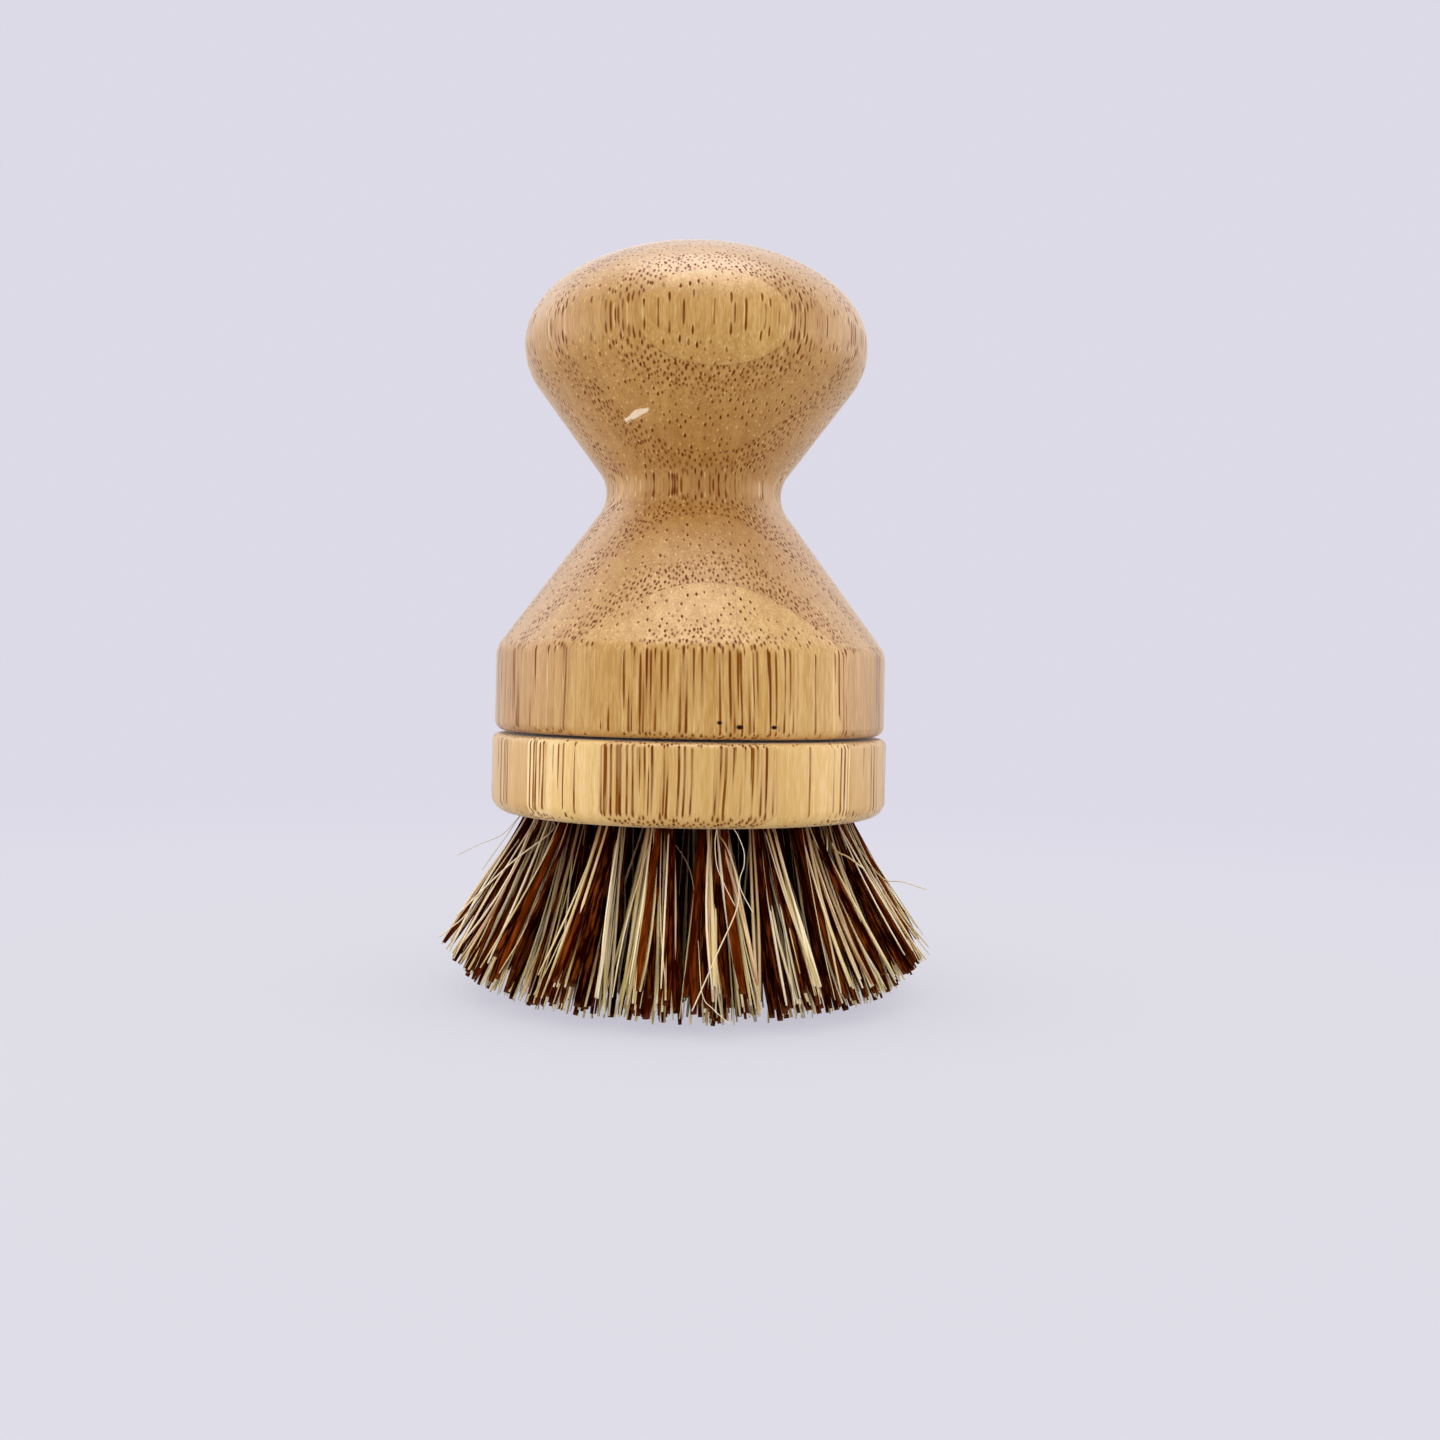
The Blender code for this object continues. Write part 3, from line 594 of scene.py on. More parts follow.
# %% The drill
def drill_bits():
    """Points and faces of all bits: a row at the depth of the wall, one below the mouth, two tips."""
    turn = np.arange(BIT_SIDES) * (math.tau / BIT_SIDES)
    wheel = np.column_stack([np.cos(turn), np.sin(turn)]) * HOLE_RADIUS
    upper = np.column_stack([wheel, np.full(BIT_SIDES, HOLE_DEPTH)])
    lower = np.column_stack([wheel, np.full(BIT_SIDES, -BIT_OVERRUN)])
    bit = np.vstack([upper, lower, [(0.0, 0.0, HOLE_DEPTH + BIT_POINT), (0.0, 0.0, -BIT_OVERRUN)]])
    side, after = np.arange(BIT_SIDES), (np.arange(BIT_SIDES) + 1) % BIT_SIDES
    wall = np.stack([side, BIT_SIDES + side, BIT_SIDES + after, after], axis=-1)
    point = np.stack([np.full(BIT_SIDES, 2 * BIT_SIDES), side, after], axis=-1)
    foot = np.stack([np.full(BIT_SIDES, 2 * BIT_SIDES + 1), BIT_SIDES + after, BIT_SIDES + side], axis=-1)
    points, faces = [], []
    for ring in RINGS.values():
        lean = math.atan(slope(ring))
        leaned = np.column_stack([bit[:, 0] * math.cos(lean) - bit[:, 2] * math.sin(lean), bit[:, 1],
                                  bit[:, 0] * math.sin(lean) + bit[:, 2] * math.cos(lean)])
        for index in range(ring["tufts"]):
            start = len(points) * len(bit)
            points.append(placed(leaned, ring, index))
            faces += (wall + start).tolist() + (point + start).tolist() + (foot + start).tolist()
    return np.vstack(points), faces


bits = new_piece("drill_bits", *drill_bits(), [head_bamboo.material])
drilling = head.modifiers.new("drilling", "BOOLEAN")
drilling.operation = "DIFFERENCE"
drilling.solver = "EXACT"
drilling.object = bits
drilled = bpy.data.meshes.new_from_object(head.evaluated_get(bpy.context.evaluated_depsgraph_get()))
head.modifiers.clear()
head.data = drilled
bpy.data.objects.remove(bits)
head.data.set_sharp_from_angle(angle=SHARP_FROM)
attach(head, "head")
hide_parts("head_disc")
print("drilled head:", len(head.data.polygons), "faces")

# %% [markdown]
# ## Screw threads
#
# A thread is a ridge that climbs one pitch for each turn. On the grid of a turned piece that is a radius
# that depends on height and angle together: the height, less one pitch for each full turn, says where on
# the ridge a point lies. The bolt and the insert use the same rule, and the joint lifts the handle by
# the same pitch for each turn, so the two threads never touch while the handle unscrews.

# %% Steel and brass
PITCH = 0.8


def metal(name, colour, roughness):
    """Bright metal with fine turning marks round the axis and a few dull patches."""
    bare = Finish(name, Metallic=1.0)
    x, y, z = bare.place()
    marks = bare.noise(x * 0.2, y * 0.2, z * 14.0, 2.0)
    patches = bare.noise(x * 0.8, y * 0.8, z * 0.8, 2.0)
    darker = tuple(0.72 * part for part in colour) + (1.0,)
    bare.connect(Base_Color=bare.blend(patches.rise(0.45, 0.7), (*colour, 1.0), darker))
    bare.connect(Roughness=roughness + marks * 0.14)
    return bare.material


def ridge(height, turn, pitch, inner, outer, flat=0.12):
    """Radius of a right-hand thread: a steady climb from root to crest and back within each pitch."""
    phase = np.abs((height / pitch - turn / math.tau) % 1.0 - 0.5) * 2
    return inner + (outer - inner) * np.clip((phase - flat) / (1 - 2 * flat), 0.0, 1.0)


bolt_steel = metal("bolt_steel", (0.60, 0.60, 0.58), 0.24)
insert_brass = metal("insert_brass", (0.78, 0.56, 0.24), 0.22)
print("metals:", bolt_steel.name, "and", insert_brass.name)

# %% The hanger bolt
METAL_SIDES = 48
BOLT_REACH, COLLAR_TOP, WOOD_THREAD_TOP = -5.8, 1.6, 20.0
WOOD_PITCH, WOOD_ROOT, WOOD_RIDGE = 2.0, 1.75, 0.65
STEEL_ROOT, STEEL_CREST, COLLAR_RADIUS, COLLAR_EDGE = 2.05, 2.45, 2.5, 0.2
turn = np.arange(METAL_SIDES) * (math.tau / METAL_SIDES)

wood_rows = np.linspace(WOOD_THREAD_TOP - 0.05, COLLAR_TOP + 0.1, 150)[:, None]
point_share = np.clip((WOOD_THREAD_TOP - wood_rows) / 4.0, 0.0, 1.0)
run_out = np.clip((wood_rows - COLLAR_TOP) / 1.5, 0.0, 1.0)
wood_thread = ridge(wood_rows, turn, WOOD_PITCH, WOOD_ROOT, WOOD_ROOT + WOOD_RIDGE * run_out, 0.2)
wood_thread = wood_thread * (0.12 + 0.88 * point_share)
steel_rows = np.linspace(-0.1, BOLT_REACH, 86)[:, None]
chamfer = np.clip((steel_rows - BOLT_REACH) / 0.6, 0.0, 1.0)
steel_thread = np.minimum(ridge(steel_rows, turn, PITCH, STEEL_ROOT, STEEL_CREST), 1.9 + 0.6 * chamfer)


def stacked(parts):
    """The radius and height of every row, from (radius, height) pairs of single rings and whole threads."""
    blank = np.zeros(METAL_SIDES)
    return [np.vstack([blank + part[column] for part in parts]) for column in (0, 1)]


bolt_radius, bolt_height = stacked([
    (0.0, WOOD_THREAD_TOP), (wood_thread, wood_rows),
    (COLLAR_RADIUS - COLLAR_EDGE, COLLAR_TOP), (COLLAR_RADIUS, COLLAR_TOP - COLLAR_EDGE),
    (COLLAR_RADIUS, COLLAR_EDGE), (COLLAR_RADIUS - COLLAR_EDGE, 0.0),
    (steel_thread, steel_rows), (0.0, BOLT_REACH),
])
bolt = turned("hanger_bolt_threaded", bolt_radius, bolt_height + HANDLE_BOTTOM, METAL_SIDES, bolt_steel)
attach(bolt, "bolt")
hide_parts("hanger_bolt")

# %% The brass insert
BORE_CREST, BORE_ROOT = 2.17, 2.6
bore_rows = np.linspace(HEAD_TOP - 5.8, HEAD_TOP - 0.45, 80)[:, None]
bore_thread = ridge(bore_rows - HANDLE_BOTTOM, turn, PITCH, BORE_CREST, BORE_ROOT)
outside = [(3.0, 0.0), (4.3, 0.0), (4.3, -0.9), (3.5, -0.9), (3.5, -1.9), (3.15, -2.1), (3.15, -2.9),
           (3.5, -3.1), (3.5, -4.0), (3.15, -4.2), (3.15, -5.0), (3.5, -5.2), (3.5, -5.6), (3.1, -6.0),
           (2.7, -6.0)]
insert_radius, insert_height = stacked([(r, z + HEAD_TOP) for r, z in outside] + [(bore_thread, bore_rows)])
insert = turned("insert_threaded", insert_radius, insert_height, METAL_SIDES, insert_brass, ring=True)
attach(insert, "head")
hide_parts("threaded_insert")

# %% [markdown]
# ## Palm and sisal fibre
#
# Palm strands are thick, dark and dull, with rusty streaks. Sisal strands are thin, pale and straw-like,
# and no two have the same tint. Both darken towards the head, where little light gets in between them.
# Each strand carries its own random number, and a sheet position that says how far round the strand and
# how far from its tip a point lies. The streaks are soft noise that is stretched along the strand, so
# they follow it wherever it bends.

# %% Fibre finishes
SISAL_TINTS = ((0.00, (1.00, 0.86, 0.62, 1.0)), (0.40, (0.96, 0.74, 0.38, 1.0)),
               (0.62, (0.66, 0.50, 0.13, 1.0)), (0.85, (0.90, 0.58, 0.27, 1.0)),
               (1.00, (0.42, 0.15, 0.02, 1.0)))
PALM_TINTS = ((0.00, (0.003, 0.000, 0.000, 1.0)), (0.45, (0.024, 0.001, 0.000, 1.0)),
              (0.80, (0.055, 0.004, 0.000, 1.0)), (1.00, (0.110, 0.016, 0.001, 1.0)))
ROOT_SHADE = (0.38, 0.21, 0.13, 1.0)


def ramp(finish, share, stops):
    """A colour that goes from stop to stop as share goes from 0 to 1."""
    made = finish.node("ValToRGB", {}, {"Fac": share})
    band = made.socket.node.color_ramp
    for place, colour in stops[1:-1]:
        band.elements.new(place).color = colour
    band.elements[0].color = stops[0][1]
    band.elements[-1].color = stops[-1][1]
    return made


def fibre(name, tints, streak_colour, streak_share, cut_colour, roughness, gloss):
    """Strand material: its tint from the strand's own number, streaks along it, and a brighter cut end."""
    strand = Finish(name, Specular_IOR_Level=gloss)
    around, from_tip, _ = strand.node("UVMap", {"uv_map": "Strand"}, {}).parts()
    pick = strand.node("Attribute", {"attribute_name": "strand_pick"}, {}, "Fac")
    streaks = strand.noise(around * 8.0 + pick * 50.0, from_tip * 0.30, pick * 90.0, 4.0)
    patches = strand.noise(pick * 70.0, from_tip * 0.12, pick * 20.0, 2.0)
    tinted = ramp(strand, pick * 0.9 + (patches - 0.5) * 0.6 + 0.05, tints)
    streaked = strand.blend(streaks.rise(0.46, 0.66) * streak_share, tinted, streak_colour)
    # Painted shade: strands darken towards the head, where little light gets in between them
    root_shaded = strand.blend(from_tip.rise(8.0, 24.0) * 0.9, streaked, ROOT_SHADE, "MULTIPLY")
    end = 1.0 - from_tip.rise(0.0, 0.5)
    strand.connect(Base_Color=strand.blend(end * 0.6, root_shaded, cut_colour))
    strand.connect(Roughness=roughness + streaks * 0.25)
    strand.bumps(streaks, 0.04)
    return strand.material


sisal_fibre = fibre("sisal_fibre", SISAL_TINTS, streak_colour=(0.98, 0.84, 0.60, 1.0), streak_share=0.5,
                    cut_colour=(0.96, 0.80, 0.54, 1.0), roughness=0.30, gloss=0.8)
palm_fibre = fibre("palm_fibre", PALM_TINTS, streak_colour=(0.32, 0.065, 0.007, 1.0), streak_share=0.60,
                   cut_colour=(0.16, 0.05, 0.02, 1.0), roughness=0.45, gloss=0.0)
print("fibres:", sisal_fibre.name, "and", palm_fibre.name)

# %% [markdown]
# ## Strands as thin tubes
#
# A strand is a tube: at points along its middle line stands a small ring, with the ring's own left and
# right worked out from the line's direction. All strands of a kind have as many rings, so numpy makes
# them in one go, as a block of strands by rings by corners. Five sides are enough for sisal and seven
# for ribbed palm, because light goes smoothly round them and a strand is only a few pixels wide.

# %% Tubes


def unit(vectors):
    return vectors / np.linalg.norm(vectors, axis=-1, keepdims=True)


def tubes(lines, across, wide, thin, ribs):
    """Tube points round lines of shape (strands, rings, 3): line + wide * cos * edge + thin * sin * flat.

    Across is a direction for each strand that its wide side keeps to, and ribs a factor for each corner.
    """
    along = unit(np.gradient(lines, axis=1))
    flat = unit(np.cross(along, across[:, None]))
    edge = np.cross(flat, along)
    turn = np.arange(ribs.shape[1]) * (math.tau / ribs.shape[1])
    over = (wide[:, :, None] * np.cos(turn) * ribs[:, None])[..., None] * edge[:, :, None]
    up = (thin[:, :, None] * np.sin(turn) * ribs[:, None])[..., None] * flat[:, :, None]
    return lines[:, :, None] + over + up


widths = np.ones((1, 2))
sample = tubes(np.array([[(0, 0, 0), (0, 0, 1)]]), np.eye(3)[:1], widths, widths, np.ones((1, 5)))
print("a tube's strands, rings, corners and numbers:", sample.shape)

# %% A bundle of tubes
# On the flat sheet of the second map a strand is an upright strip, with its cut ends as discs below and
# above it
STRIP_MARGIN, STRIP_BOTTOM, STRIP_TOP = 0.06, 0.03, 0.97
DISC_BOTTOM, DISC_TOP, DISC_WIDE, DISC_HIGH = 0.013, 0.987, 0.3, 0.009


class Bundle:
    """Collects tubes of different kinds into one piece, with the sheet positions of every corner."""

    def __init__(self):
        self.points, self.faces, self.kinds, self.picks = [], [], [], []
        self.strand_map, self.sheet = [], []
        self.corners, self.strands = 0, 0

    def add(self, tube, from_tip, picks, kind):
        """Adds tubes of shape (strands, rings, corners, 3) that wear the piece's material number kind."""
        strands, rings, corners, _ = tube.shape
        index = np.arange(strands * rings * corners).reshape(strands, rings, corners) + self.corners
        after = np.roll(index, -1, axis=2)
        squares = np.stack([index[:, :-1], after[:, :-1], after[:, 1:], index[:, 1:]], axis=-1)
        corner = np.arange(corners)
        height = np.linspace(STRIP_BOTTOM, STRIP_TOP, rings)
        strip = np.arange(strands)[:, None] + self.strands
        blank = np.zeros(squares.shape[:3])
        low, high = blank + corner / corners, blank + (corner + 1) / corners
        near, far = blank + from_tip[:, :-1, None], blank + from_tip[:, 1:, None]
        bottom, top = blank + height[None, :-1, None], blank + height[None, 1:, None]
        around = np.stack([low, high, high, low], axis=-1)
        run = np.stack([near, near, far, far], axis=-1)
        level = np.stack([bottom, bottom, top, top], axis=-1)
        across = strip[..., None, None] + STRIP_MARGIN + around * (1 - 2 * STRIP_MARGIN)
        self.faces += squares.reshape(-1, 4).tolist()
        self.kinds += [kind] * (squares.size // 4)
        self.strand_map.append(np.stack([around, run], axis=-1).reshape(-1, 2))
        self.sheet.append(np.stack([across, level], axis=-1).reshape(-1, 2))
        turn = corner * (math.tau / corners)
        for end, order, middle in ((0, corner[::-1], DISC_BOTTOM), (-1, corner, DISC_TOP)):
            caps = index[:, end][:, order]
            self.faces += caps.tolist()
            self.kinds += [kind] * strands
            self.strand_map.append(np.broadcast_to((0.5, 0.0), (strands * corners, 2)))
            disc_x = strip + (0.5 + DISC_WIDE * np.cos(turn[order]))
            disc_y = np.broadcast_to(middle + DISC_HIGH * np.sin(turn[order]), caps.shape)
            self.sheet.append(np.stack([disc_x, disc_y], axis=-1).reshape(-1, 2))
        self.points.append(tube.reshape(-1, 3))
        self.picks.append(np.repeat(picks, rings * corners))
        self.corners += tube.size // 3
        self.strands += strands

    def piece(self, name, finishes):
        """Makes the object, with each strand as one upright strip of the flat sheet."""
        made = new_piece(name, np.vstack(self.points), self.faces, finishes)
        made.data.polygons.foreach_set("material_index", self.kinds)
        pick = made.data.attributes.new("strand_pick", "FLOAT", "POINT")
        pick.data.foreach_set("value", np.concatenate(self.picks))
        strand_map = made.data.uv_layers.new(name="Strand")
        strand_map.uv.foreach_set("vector", np.vstack(self.strand_map).ravel())
        sheet = np.vstack(self.sheet)
        sheet[:, 0] /= self.strands
        made.data.uv_layers.new(name="OFBake").uv.foreach_set("vector", sheet.ravel())
        return made


print("a strip's share of its column:", 1 - 2 * STRIP_MARGIN)

# %% [markdown]
# ## The tufts
#
# A tuft is a small bunch of strands laid over a wire staple and pushed double into its hole, so each
# strand is a hairpin with two tips. Inside the hole the two legs lie side by side. Below it they spread:
# a tip's place is the leg's place in the hole, much enlarged and a little astray, and the leg goes there
# by a law of its fall, part steady and part growing as its square. The palm crowds to one side of each
# tuft and the sisal to the other. A strand thins towards its hole and narrows at its tip. The whole head
# is trimmed to a shallow bowl, with a few strands cut short. A hair simulation would do this too, but a
# formula keeps the strands in their holes and gives the same brush each time.

# %% Hairpins
SISAL = {"kind": 0, "corners": 5, "wide": (0.08, 0.24), "flat": (0.55, 0.9), "astray": 0.36, "bow": 0.34}
PALM = {"kind": 1, "corners": 7, "wide": (0.26, 0.74), "flat": (0.35, 0.75), "astray": 0.20, "bow": 0.20}
VISIBLE_STEPS = 6
PACKED_RADIUS, BRIDGE_HEIGHT = HOLE_RADIUS - 0.25, 5.2


def hairpins(chance, ring, count, kind, skew):
    """Middle lines of a tuft's hairpins about its hole's mouth, with x outwards, from tip to tip.

    A skew over 1 crowds them to one side of the tuft, and under 1 to the other.
    """
    order = (np.arange(count) + chance.uniform(0.2, 0.8, count)) / count
    out = 0.86 * np.sqrt(order)
    around = math.pi * (((np.arange(count) * 0.618 + chance.uniform()) % 1.0) ** skew - 0.5)
    place_x = np.maximum(out * np.cos(around), 0.12)
    place_y = out * np.sin(around)
    tilt = slope(ring)
    spread = math.pi * ring["tip"] / ring["tufts"] * ring["spread"]
    legs = []
    for side in (-1.0, 1.0):
        root = np.stack([side * place_x, place_y], axis=-1) * PACKED_RADIUS
        root[:, 0] -= tilt * ROOT_HEIGHT
        astray = chance.normal(0.0, kind["astray"], (count, 2)) * spread
        tip = np.stack([side * place_x, place_y], axis=-1) * spread + astray
        tip[:, 0] += ring["tip"] - ring["radius"]
        reach = np.hypot(tip[:, 0] + ring["radius"], tip[:, 1])
        pull = np.minimum(1.0, (TIP_REACH - 0.2) / reach)
        tip = np.column_stack([(tip[:, 0] + ring["radius"]) * pull - ring["radius"], tip[:, 1] * pull])
        short = chance.uniform(0.0, 0.8, count)
        cut_short = chance.uniform(size=count) < 0.10
        short = short + cut_short * chance.uniform(0.5, 3.0, count)
        tip_height = tip_lift(reach * pull) + short + 0.15 - HEAD_BOTTOM
        fallen = np.linspace(0.0, 1.0, VISIBLE_STEPS + 1)
        travel = fallen * (1 - ring["bend"] + ring["bend"] * fallen)
        bow = chance.normal(0.0, kind["bow"], (count, 1, 2)) * np.sin(math.pi * fallen ** 1.3)[None, :, None]
        flat_path = root[:, None] + (tip - root)[:, None] * travel[None, :, None] + bow
        drop = ROOT_HEIGHT + (tip_height - ROOT_HEIGHT)[:, None] * fallen
        legs.append(np.concatenate([flat_path, drop[..., None]], axis=-1))
    fold_x, fold_y = place_x * PACKED_RADIUS, place_y * PACKED_RADIUS
    beside, over = np.full(count, BRIDGE_HEIGHT), BRIDGE_HEIGHT + fold_x * 0.85
    fold = np.stack([np.stack([side * fold_x - tilt * height, fold_y, height], axis=-1)
                     for side, height in ((-1.0, beside), (0.0, over), (1.0, beside))], axis=1)
    return np.concatenate([legs[0][:, ::-1], fold, legs[1]], axis=1)


sample = hairpins(np.random.default_rng(0), RINGS["inner"], 1, SISAL, 1.0)
print("rings along a hairpin:", sample.shape[1])

# %% The staple over the fold
STAPLE_WIDTH, STAPLE_WIRE, STAPLE_BITE = 2.6, 0.3, 2.2


def staple_line(ring):
    """The wire's middle line: a leg down from the bamboo, the bridge under the fold, and back up."""
    half, leg_end = STAPLE_WIDTH / 2, HOLE_DEPTH + STAPLE_BITE
    leg = np.array([(half, leg_end), (half, BRIDGE_HEIGHT + 0.5), (half - 0.18, BRIDGE_HEIGHT + 0.16),
                    (half - 0.5, BRIDGE_HEIGHT)])
    line = np.vstack([leg, leg[::-1] * (-1.0, 1.0)])
    lean = math.atan(slope(ring))
    return np.column_stack([-line[:, 1] * math.sin(lean), line[:, 0], line[:, 1] * math.cos(lean)])[None]


print("an outer staple's top:", staple_line(RINGS["outer"]).max(axis=(0, 1)).round(2)[2], "mm up its hole")


# %% Stray hairs
# Each has its tuft's number in the outer ring, its half width, its tint and the points it passes: pixels
# from the photograph's left and top edges, and the depth y in millimetres
HAIRS = (
    (10, 0.06, 0.60, ((524, 812, -4), (505, 838, -5), (482, 870, -7))),
    (10, 0.05, 0.62, ((524, 812, -4), (503, 834, -5), (478, 845, -6), (456, 856, -7))),
    (10, 0.10, 0.20, ((500, 866, -7), (468, 912, -9), (452, 927, -9), (439, 937, -9))),
    (19, 0.07, 0.55, ((852, 838, -5), (881, 877, -6), (903, 882, -7), (927, 890, -8))),
    (15, 0.06, 0.15, ((717, 826, -23), (715, 843, -23.5), (717, 866, -24.5), (725, 886, -25.5),
                      (735, 906, -26.5))),
    (15, 0.10, 0.10, ((728, 850, -24.5), (739, 898, -27.2), (717, 954, -30.0), (692, 1011, -32.2))),
    (15, 0.06, 0.10, ((731, 826, -23), (743, 848, -23.8), (744, 865, -24.6), (740, 878, -25.2),
                      (741, 890, -25.7), (753, 913, -26.7))),
    (14, 0.06, 0.30, ((690, 870, -21.5), (698, 940, -25.5), (702, 993, -31), (713, 1009, -31.8),
                      (730, 1024, -31.8))),
    (18, 0.13, 0.75, ((834, 848, -12), (848, 857, -13), (863, 868, -14))),
    (18, 0.12, 0.30, ((826, 870, -15), (815, 906, -18), (826, 914, -18.4))),
    (11, 0.12, 0.10, ((553, 830, -12), (510, 864, -14), (456, 916, -17))),
)


def smooth_line(points, steps=6):
    """A curve through the points: each stretch is a cubic that starts and ends along a neighbour's chord."""
    padded = np.vstack([2 * points[0] - points[1], points, 2 * points[-1] - points[-2]])
    before, start, end, after = (padded[i:len(padded) - 3 + i, None] for i in range(4))
    share = (np.arange(steps) / steps)[None, :, None]
    bend = 2 * before - 5 * start + 4 * end - after + share * (3 * (start - end) + after - before)
    curve = start + 0.5 * share * (end - before + share * bend)
    return np.vstack([curve.reshape(-1, 3), points[-1:]])


def run_lengths(lines):
    """How far along its line, of shape (strands, rings, 3), each ring stands."""
    return np.cumsum(np.linalg.norm(np.diff(lines, axis=1, prepend=lines[:, :1]), axis=-1), axis=1)


def add_hairs(bundle, ring, index):
    """Lets the hairs of an outer tuft grow from the middle of its hole, out to where they are seen."""
    for hair_tuft, half_width, tint, path in HAIRS:
        if hair_tuft == index:
            roots = placed(np.array([[0.0, 0.0, ROOT_HEIGHT + 2.0], [0.0, 0.0, 0.0]]), ring, index)
            line = smooth_line(np.vstack([roots, [seen_at(*spot) for spot in path]]))[None]
            lengths = run_lengths(line)
            width = np.full(line.shape[:2], half_width)
            bundle.add(tubes(line, np.array([[0.3, 0.9, 0.3]]), width, width * 0.8, np.ones((1, 5))),
                       lengths[:, -1:] - lengths, np.array([tint]), SISAL["kind"])


print("stray hairs:", len(HAIRS))


# %% Bunch, fold and drive in the tufts
# How many sisal and how many palm hairpins a tuft has
STRANDS = {"outer": (19, 8), "middle": (14, 9), "inner": (12, 9)}
staple_steel = metal("staple_steel", (0.52, 0.52, 0.50), 0.3)


def tuft(name, ring_name, index, chance):
    """One tuft that stands for the CAD solid of this name, with its staple in the same piece."""
    ring = RINGS[ring_name]
    bundle = Bundle()
    skew = 2.2 ** chance.uniform(-1.0, 1.0)
    for count, kind, crowding in zip(STRANDS[ring_name], (SISAL, PALM), (skew, 1.0 / skew)):
        lines = hairpins(chance, ring, count, kind, crowding)
        lengths = run_lengths(lines)
        from_tip = np.minimum(lengths, lengths[:, -1:] - lengths)
        thinned = 0.30 * np.clip(from_tip / HEAD_BOTTOM, 0.0, 1.0)
        narrowed = 0.45 * np.clip(1.0 - from_tip / 1.5, 0.0, 1.0)
        taper = 1.08 - thinned - narrowed
        wide = chance.uniform(*kind["wide"], (count, 1)) * taper
        thin = wide * chance.uniform(*kind["flat"], (count, 1))
        heading = chance.uniform(-0.9, 0.9, count)
        across = np.stack([np.sin(heading) * 0.6, np.cos(heading), np.zeros(count)], axis=-1)
        ribs = chance.uniform(0.84, 1.12, (count, kind["corners"]))
        tube = tubes(placed(lines, ring, index), swung(across, ring, index), wide, thin, ribs)
        bundle.add(tube, from_tip, chance.uniform(size=count), kind["kind"])
    if ring_name == "outer":
        add_hairs(bundle, ring, index)
    wire = staple_line(ring)
    half_width = np.full(wire.shape[:2], STAPLE_WIRE)
    sideways = swung(np.array([[1.0, 0.0, 0.4]]), ring, index)
    bundle.add(tubes(placed(wire, ring, index), sideways, half_width, half_width, np.ones((1, 6))),
               np.zeros(wire.shape[:2]), np.zeros(1), 2)
    made = bundle.piece(f"bristles_{ring_name}_{index + 1:02d}", (sisal_fibre, palm_fibre, staple_steel))
    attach(made, "head")
    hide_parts(name)
    return made


chance = np.random.default_rng(38)
faces = 0
for ring_name, ring in RINGS.items():
    for index in range(ring["tufts"]):
        faces += len(tuft(f"tuft_{ring_name}_{index + 1:02d}", ring_name, index, chance).data.polygons)
print("tufts:", sum(ring["tufts"] for ring in RINGS.values()), "with", faces, "faces")

# %% [markdown]
# ## Floor, background and light
#
# The brush stands on a pale sheet in an even room: the world lights it from all round, and a wide lamp
# overhead and a window on either side add a soft shadow. The pale haze on the bamboo's slopes comes from
# six more lamps that only show as gloss. Far from the brush the floor fades into the background's own
# colour, so no horizon shows.

# %% Floor
BACKGROUND = (0.718, 0.702, 0.800, 1.0)
FLOOR_RADIUS, FLOOR_SIDES = 1500.0, 96
floor_turn = np.arange(FLOOR_SIDES) * (math.tau / FLOOR_SIDES)
floor_rim = np.column_stack([np.cos(floor_turn), np.sin(floor_turn), np.zeros(FLOOR_SIDES)]) * FLOOR_RADIUS
sheet = Finish("pale_sheet", Roughness=0.9, Specular_IOR_Level=0.0, Base_Color=(0.77, 0.785, 0.785, 1.0))
sheet_x, sheet_y, _ = sheet.place()
away = sheet.node("VectorMath", {"operation": "LENGTH"}, {0: sheet.vector(sheet_x, sheet_y, 0.0)}, 1)
glow = sheet.node("Emission", {}, {"Color": BACKGROUND, "Strength": 1.0})
seen = sheet.node("LightPath", {}, {}, "Is Camera Ray")
faded = sheet.node("MixShader", {}, {0: (away.rise(30.0, 330.0) * 0.28 + 0.72) * seen,
                                     1: Signal(sheet, sheet.shader.outputs[0]), 2: glow})
sheet.tree.links.new(faded.socket, sheet.tree.nodes["Material Output"].inputs["Surface"])
floor = new_piece("floor", floor_rim, [list(range(FLOOR_SIDES))], [sheet.material])
floor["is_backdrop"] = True
print("floor:", FLOOR_RADIUS, "mm to its rim")

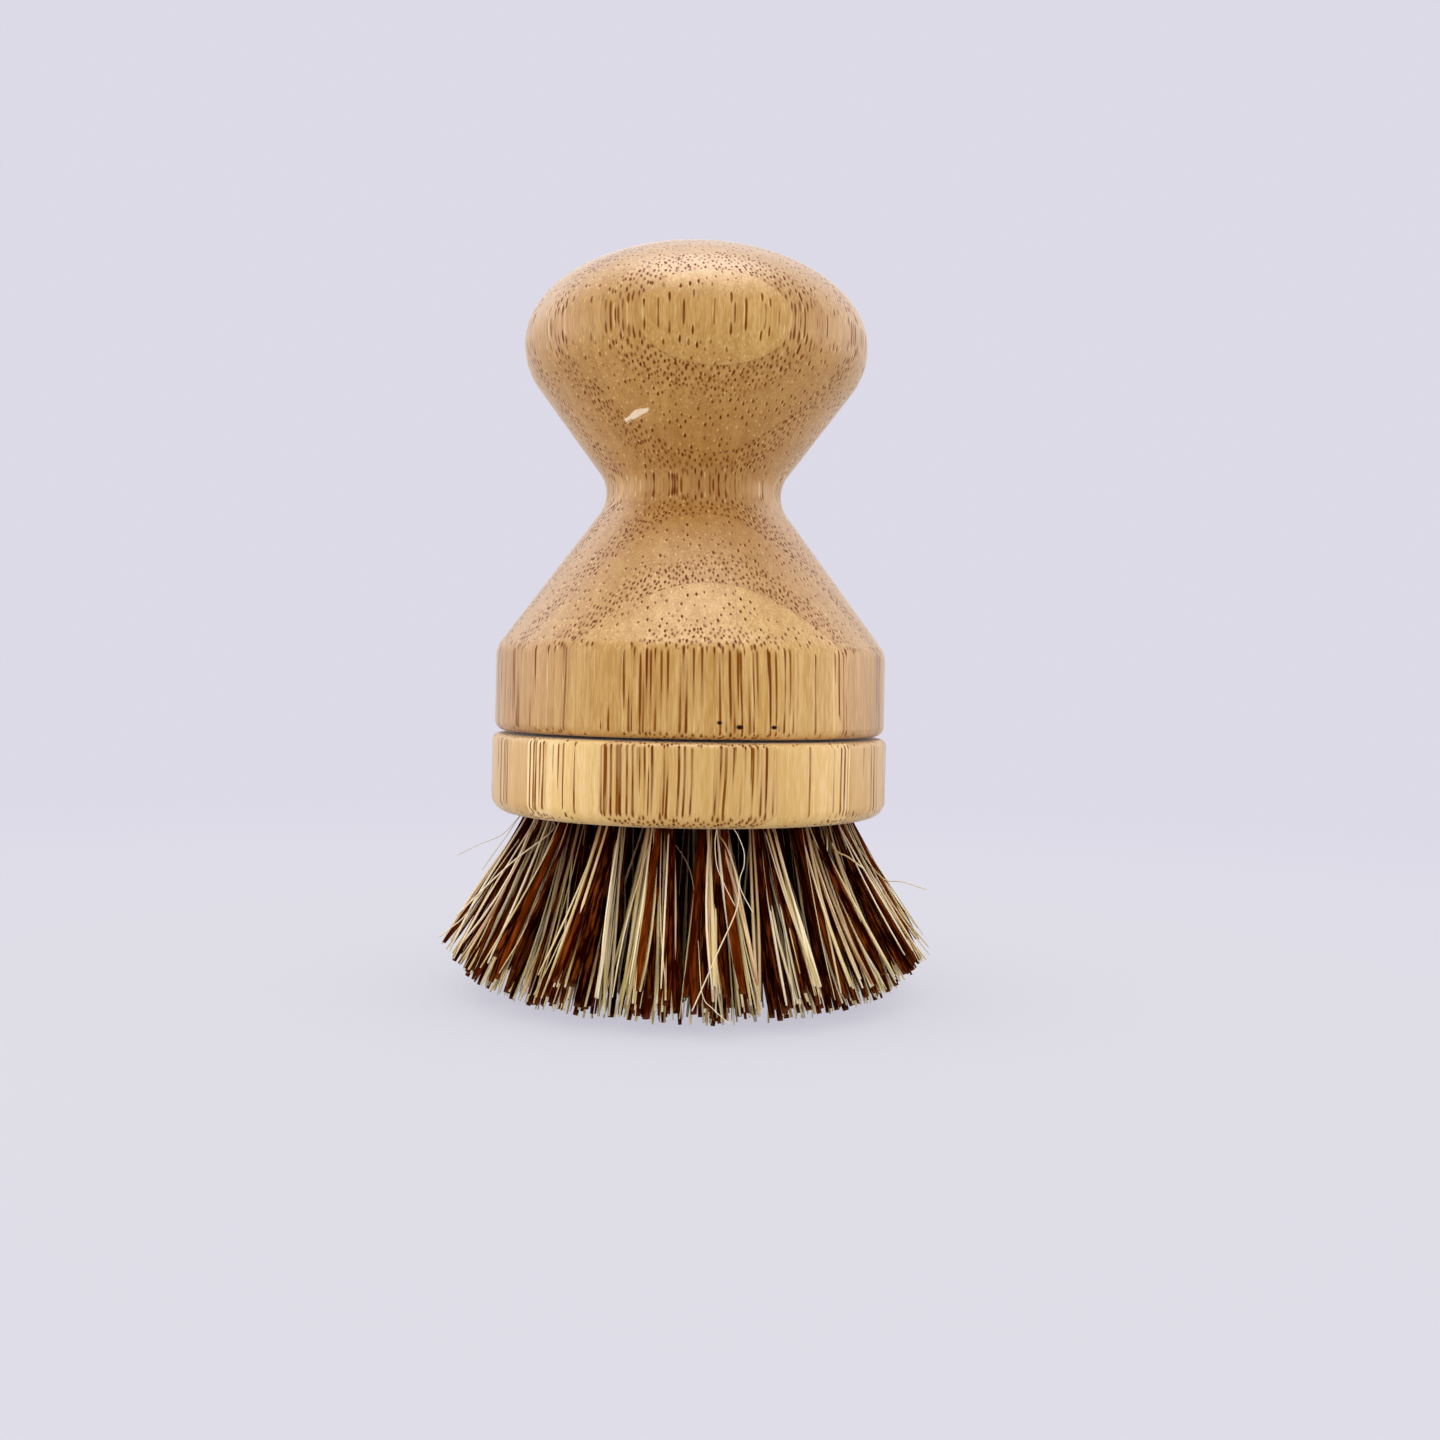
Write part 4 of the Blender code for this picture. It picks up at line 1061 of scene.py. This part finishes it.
# %% Background and lamps
world = bpy.data.worlds.new("soft_room")
bpy.context.scene.world = world
world.use_nodes = True
room = Nodes(world.node_tree)
walls = room.node("Background", {}, {"Color": (0.99, 0.985, 1.0, 1.0), "Strength": 0.95})
shown = room.node("Background", {}, {"Color": BACKGROUND, "Strength": 1.0})
mixed = room.node("MixShader", {}, {0: room.node("LightPath", {}, {}, "Is Camera Ray"), 1: walls, 2: shown})
room.tree.links.new(mixed.socket, room.tree.nodes["World Output"].inputs["Surface"])


BRUSH_MIDDLE = Vector((0.0, 0.0, 50.0))


def lamp(name, place, size, watts):
    """A square area lamp that looks from place to the brush's middle. Place and size are in millimetres."""
    light = bpy.data.lights.new(name, "AREA")
    light.shape = "SQUARE"
    light.size = size * MM
    light.energy = watts
    made = bpy.data.objects.new(name, light)
    bpy.context.scene.collection.objects.link(made)
    made.location = Vector(place) * MM
    made.rotation_euler = (BRUSH_MIDDLE - Vector(place)).to_track_quat("-Z", "Y").to_euler()
    return made


LIT_SIZE, GLOSS_SIZE = 380.0, 400.0
GLOSS_LAMPS = {
    "ceiling_sheen": ((0.0, -20.0, 560.0), 3.0),
    "back_sheen": ((0.0, 480.0, 330.0), 0.3),
    "left_sheen": ((-400.0, 230.0, 400.0), 0.85),
    "right_sheen": ((400.0, 230.0, 400.0), 0.6),
    "left_wall": ((-500.0, 60.0, 40.0), 0.6),
    "right_wall": ((500.0, 60.0, 40.0), 1.0),
}
lamp("overhead", (0.0, -100.0, 520.0), LIT_SIZE, 0.3)
lamp("left_window", (-400.0, -60.0, 30.0), LIT_SIZE, 0.48)
lamp("right_window", (400.0, -60.0, 30.0), LIT_SIZE, 0.25)
for name, (place, watts) in GLOSS_LAMPS.items():
    lamp(name, place, GLOSS_SIZE, watts).visible_diffuse = False
print("lamps:", 3 + len(GLOSS_LAMPS))

# %% [markdown]
# ## Measure
#
# Both boxes, the CAD model's and the visual model's, are printed for comparison.

# %% Measure the boxes
visual_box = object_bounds()
boxes = {"cad": [[float(v) for v in corner] for corner in cad_box],
         "visual": [[float(v) for v in corner] for corner in visual_box]}
for word, box in boxes.items():
    print(word, [round((high - low) / MM, 2) for low, high in zip(*box)], "mm")
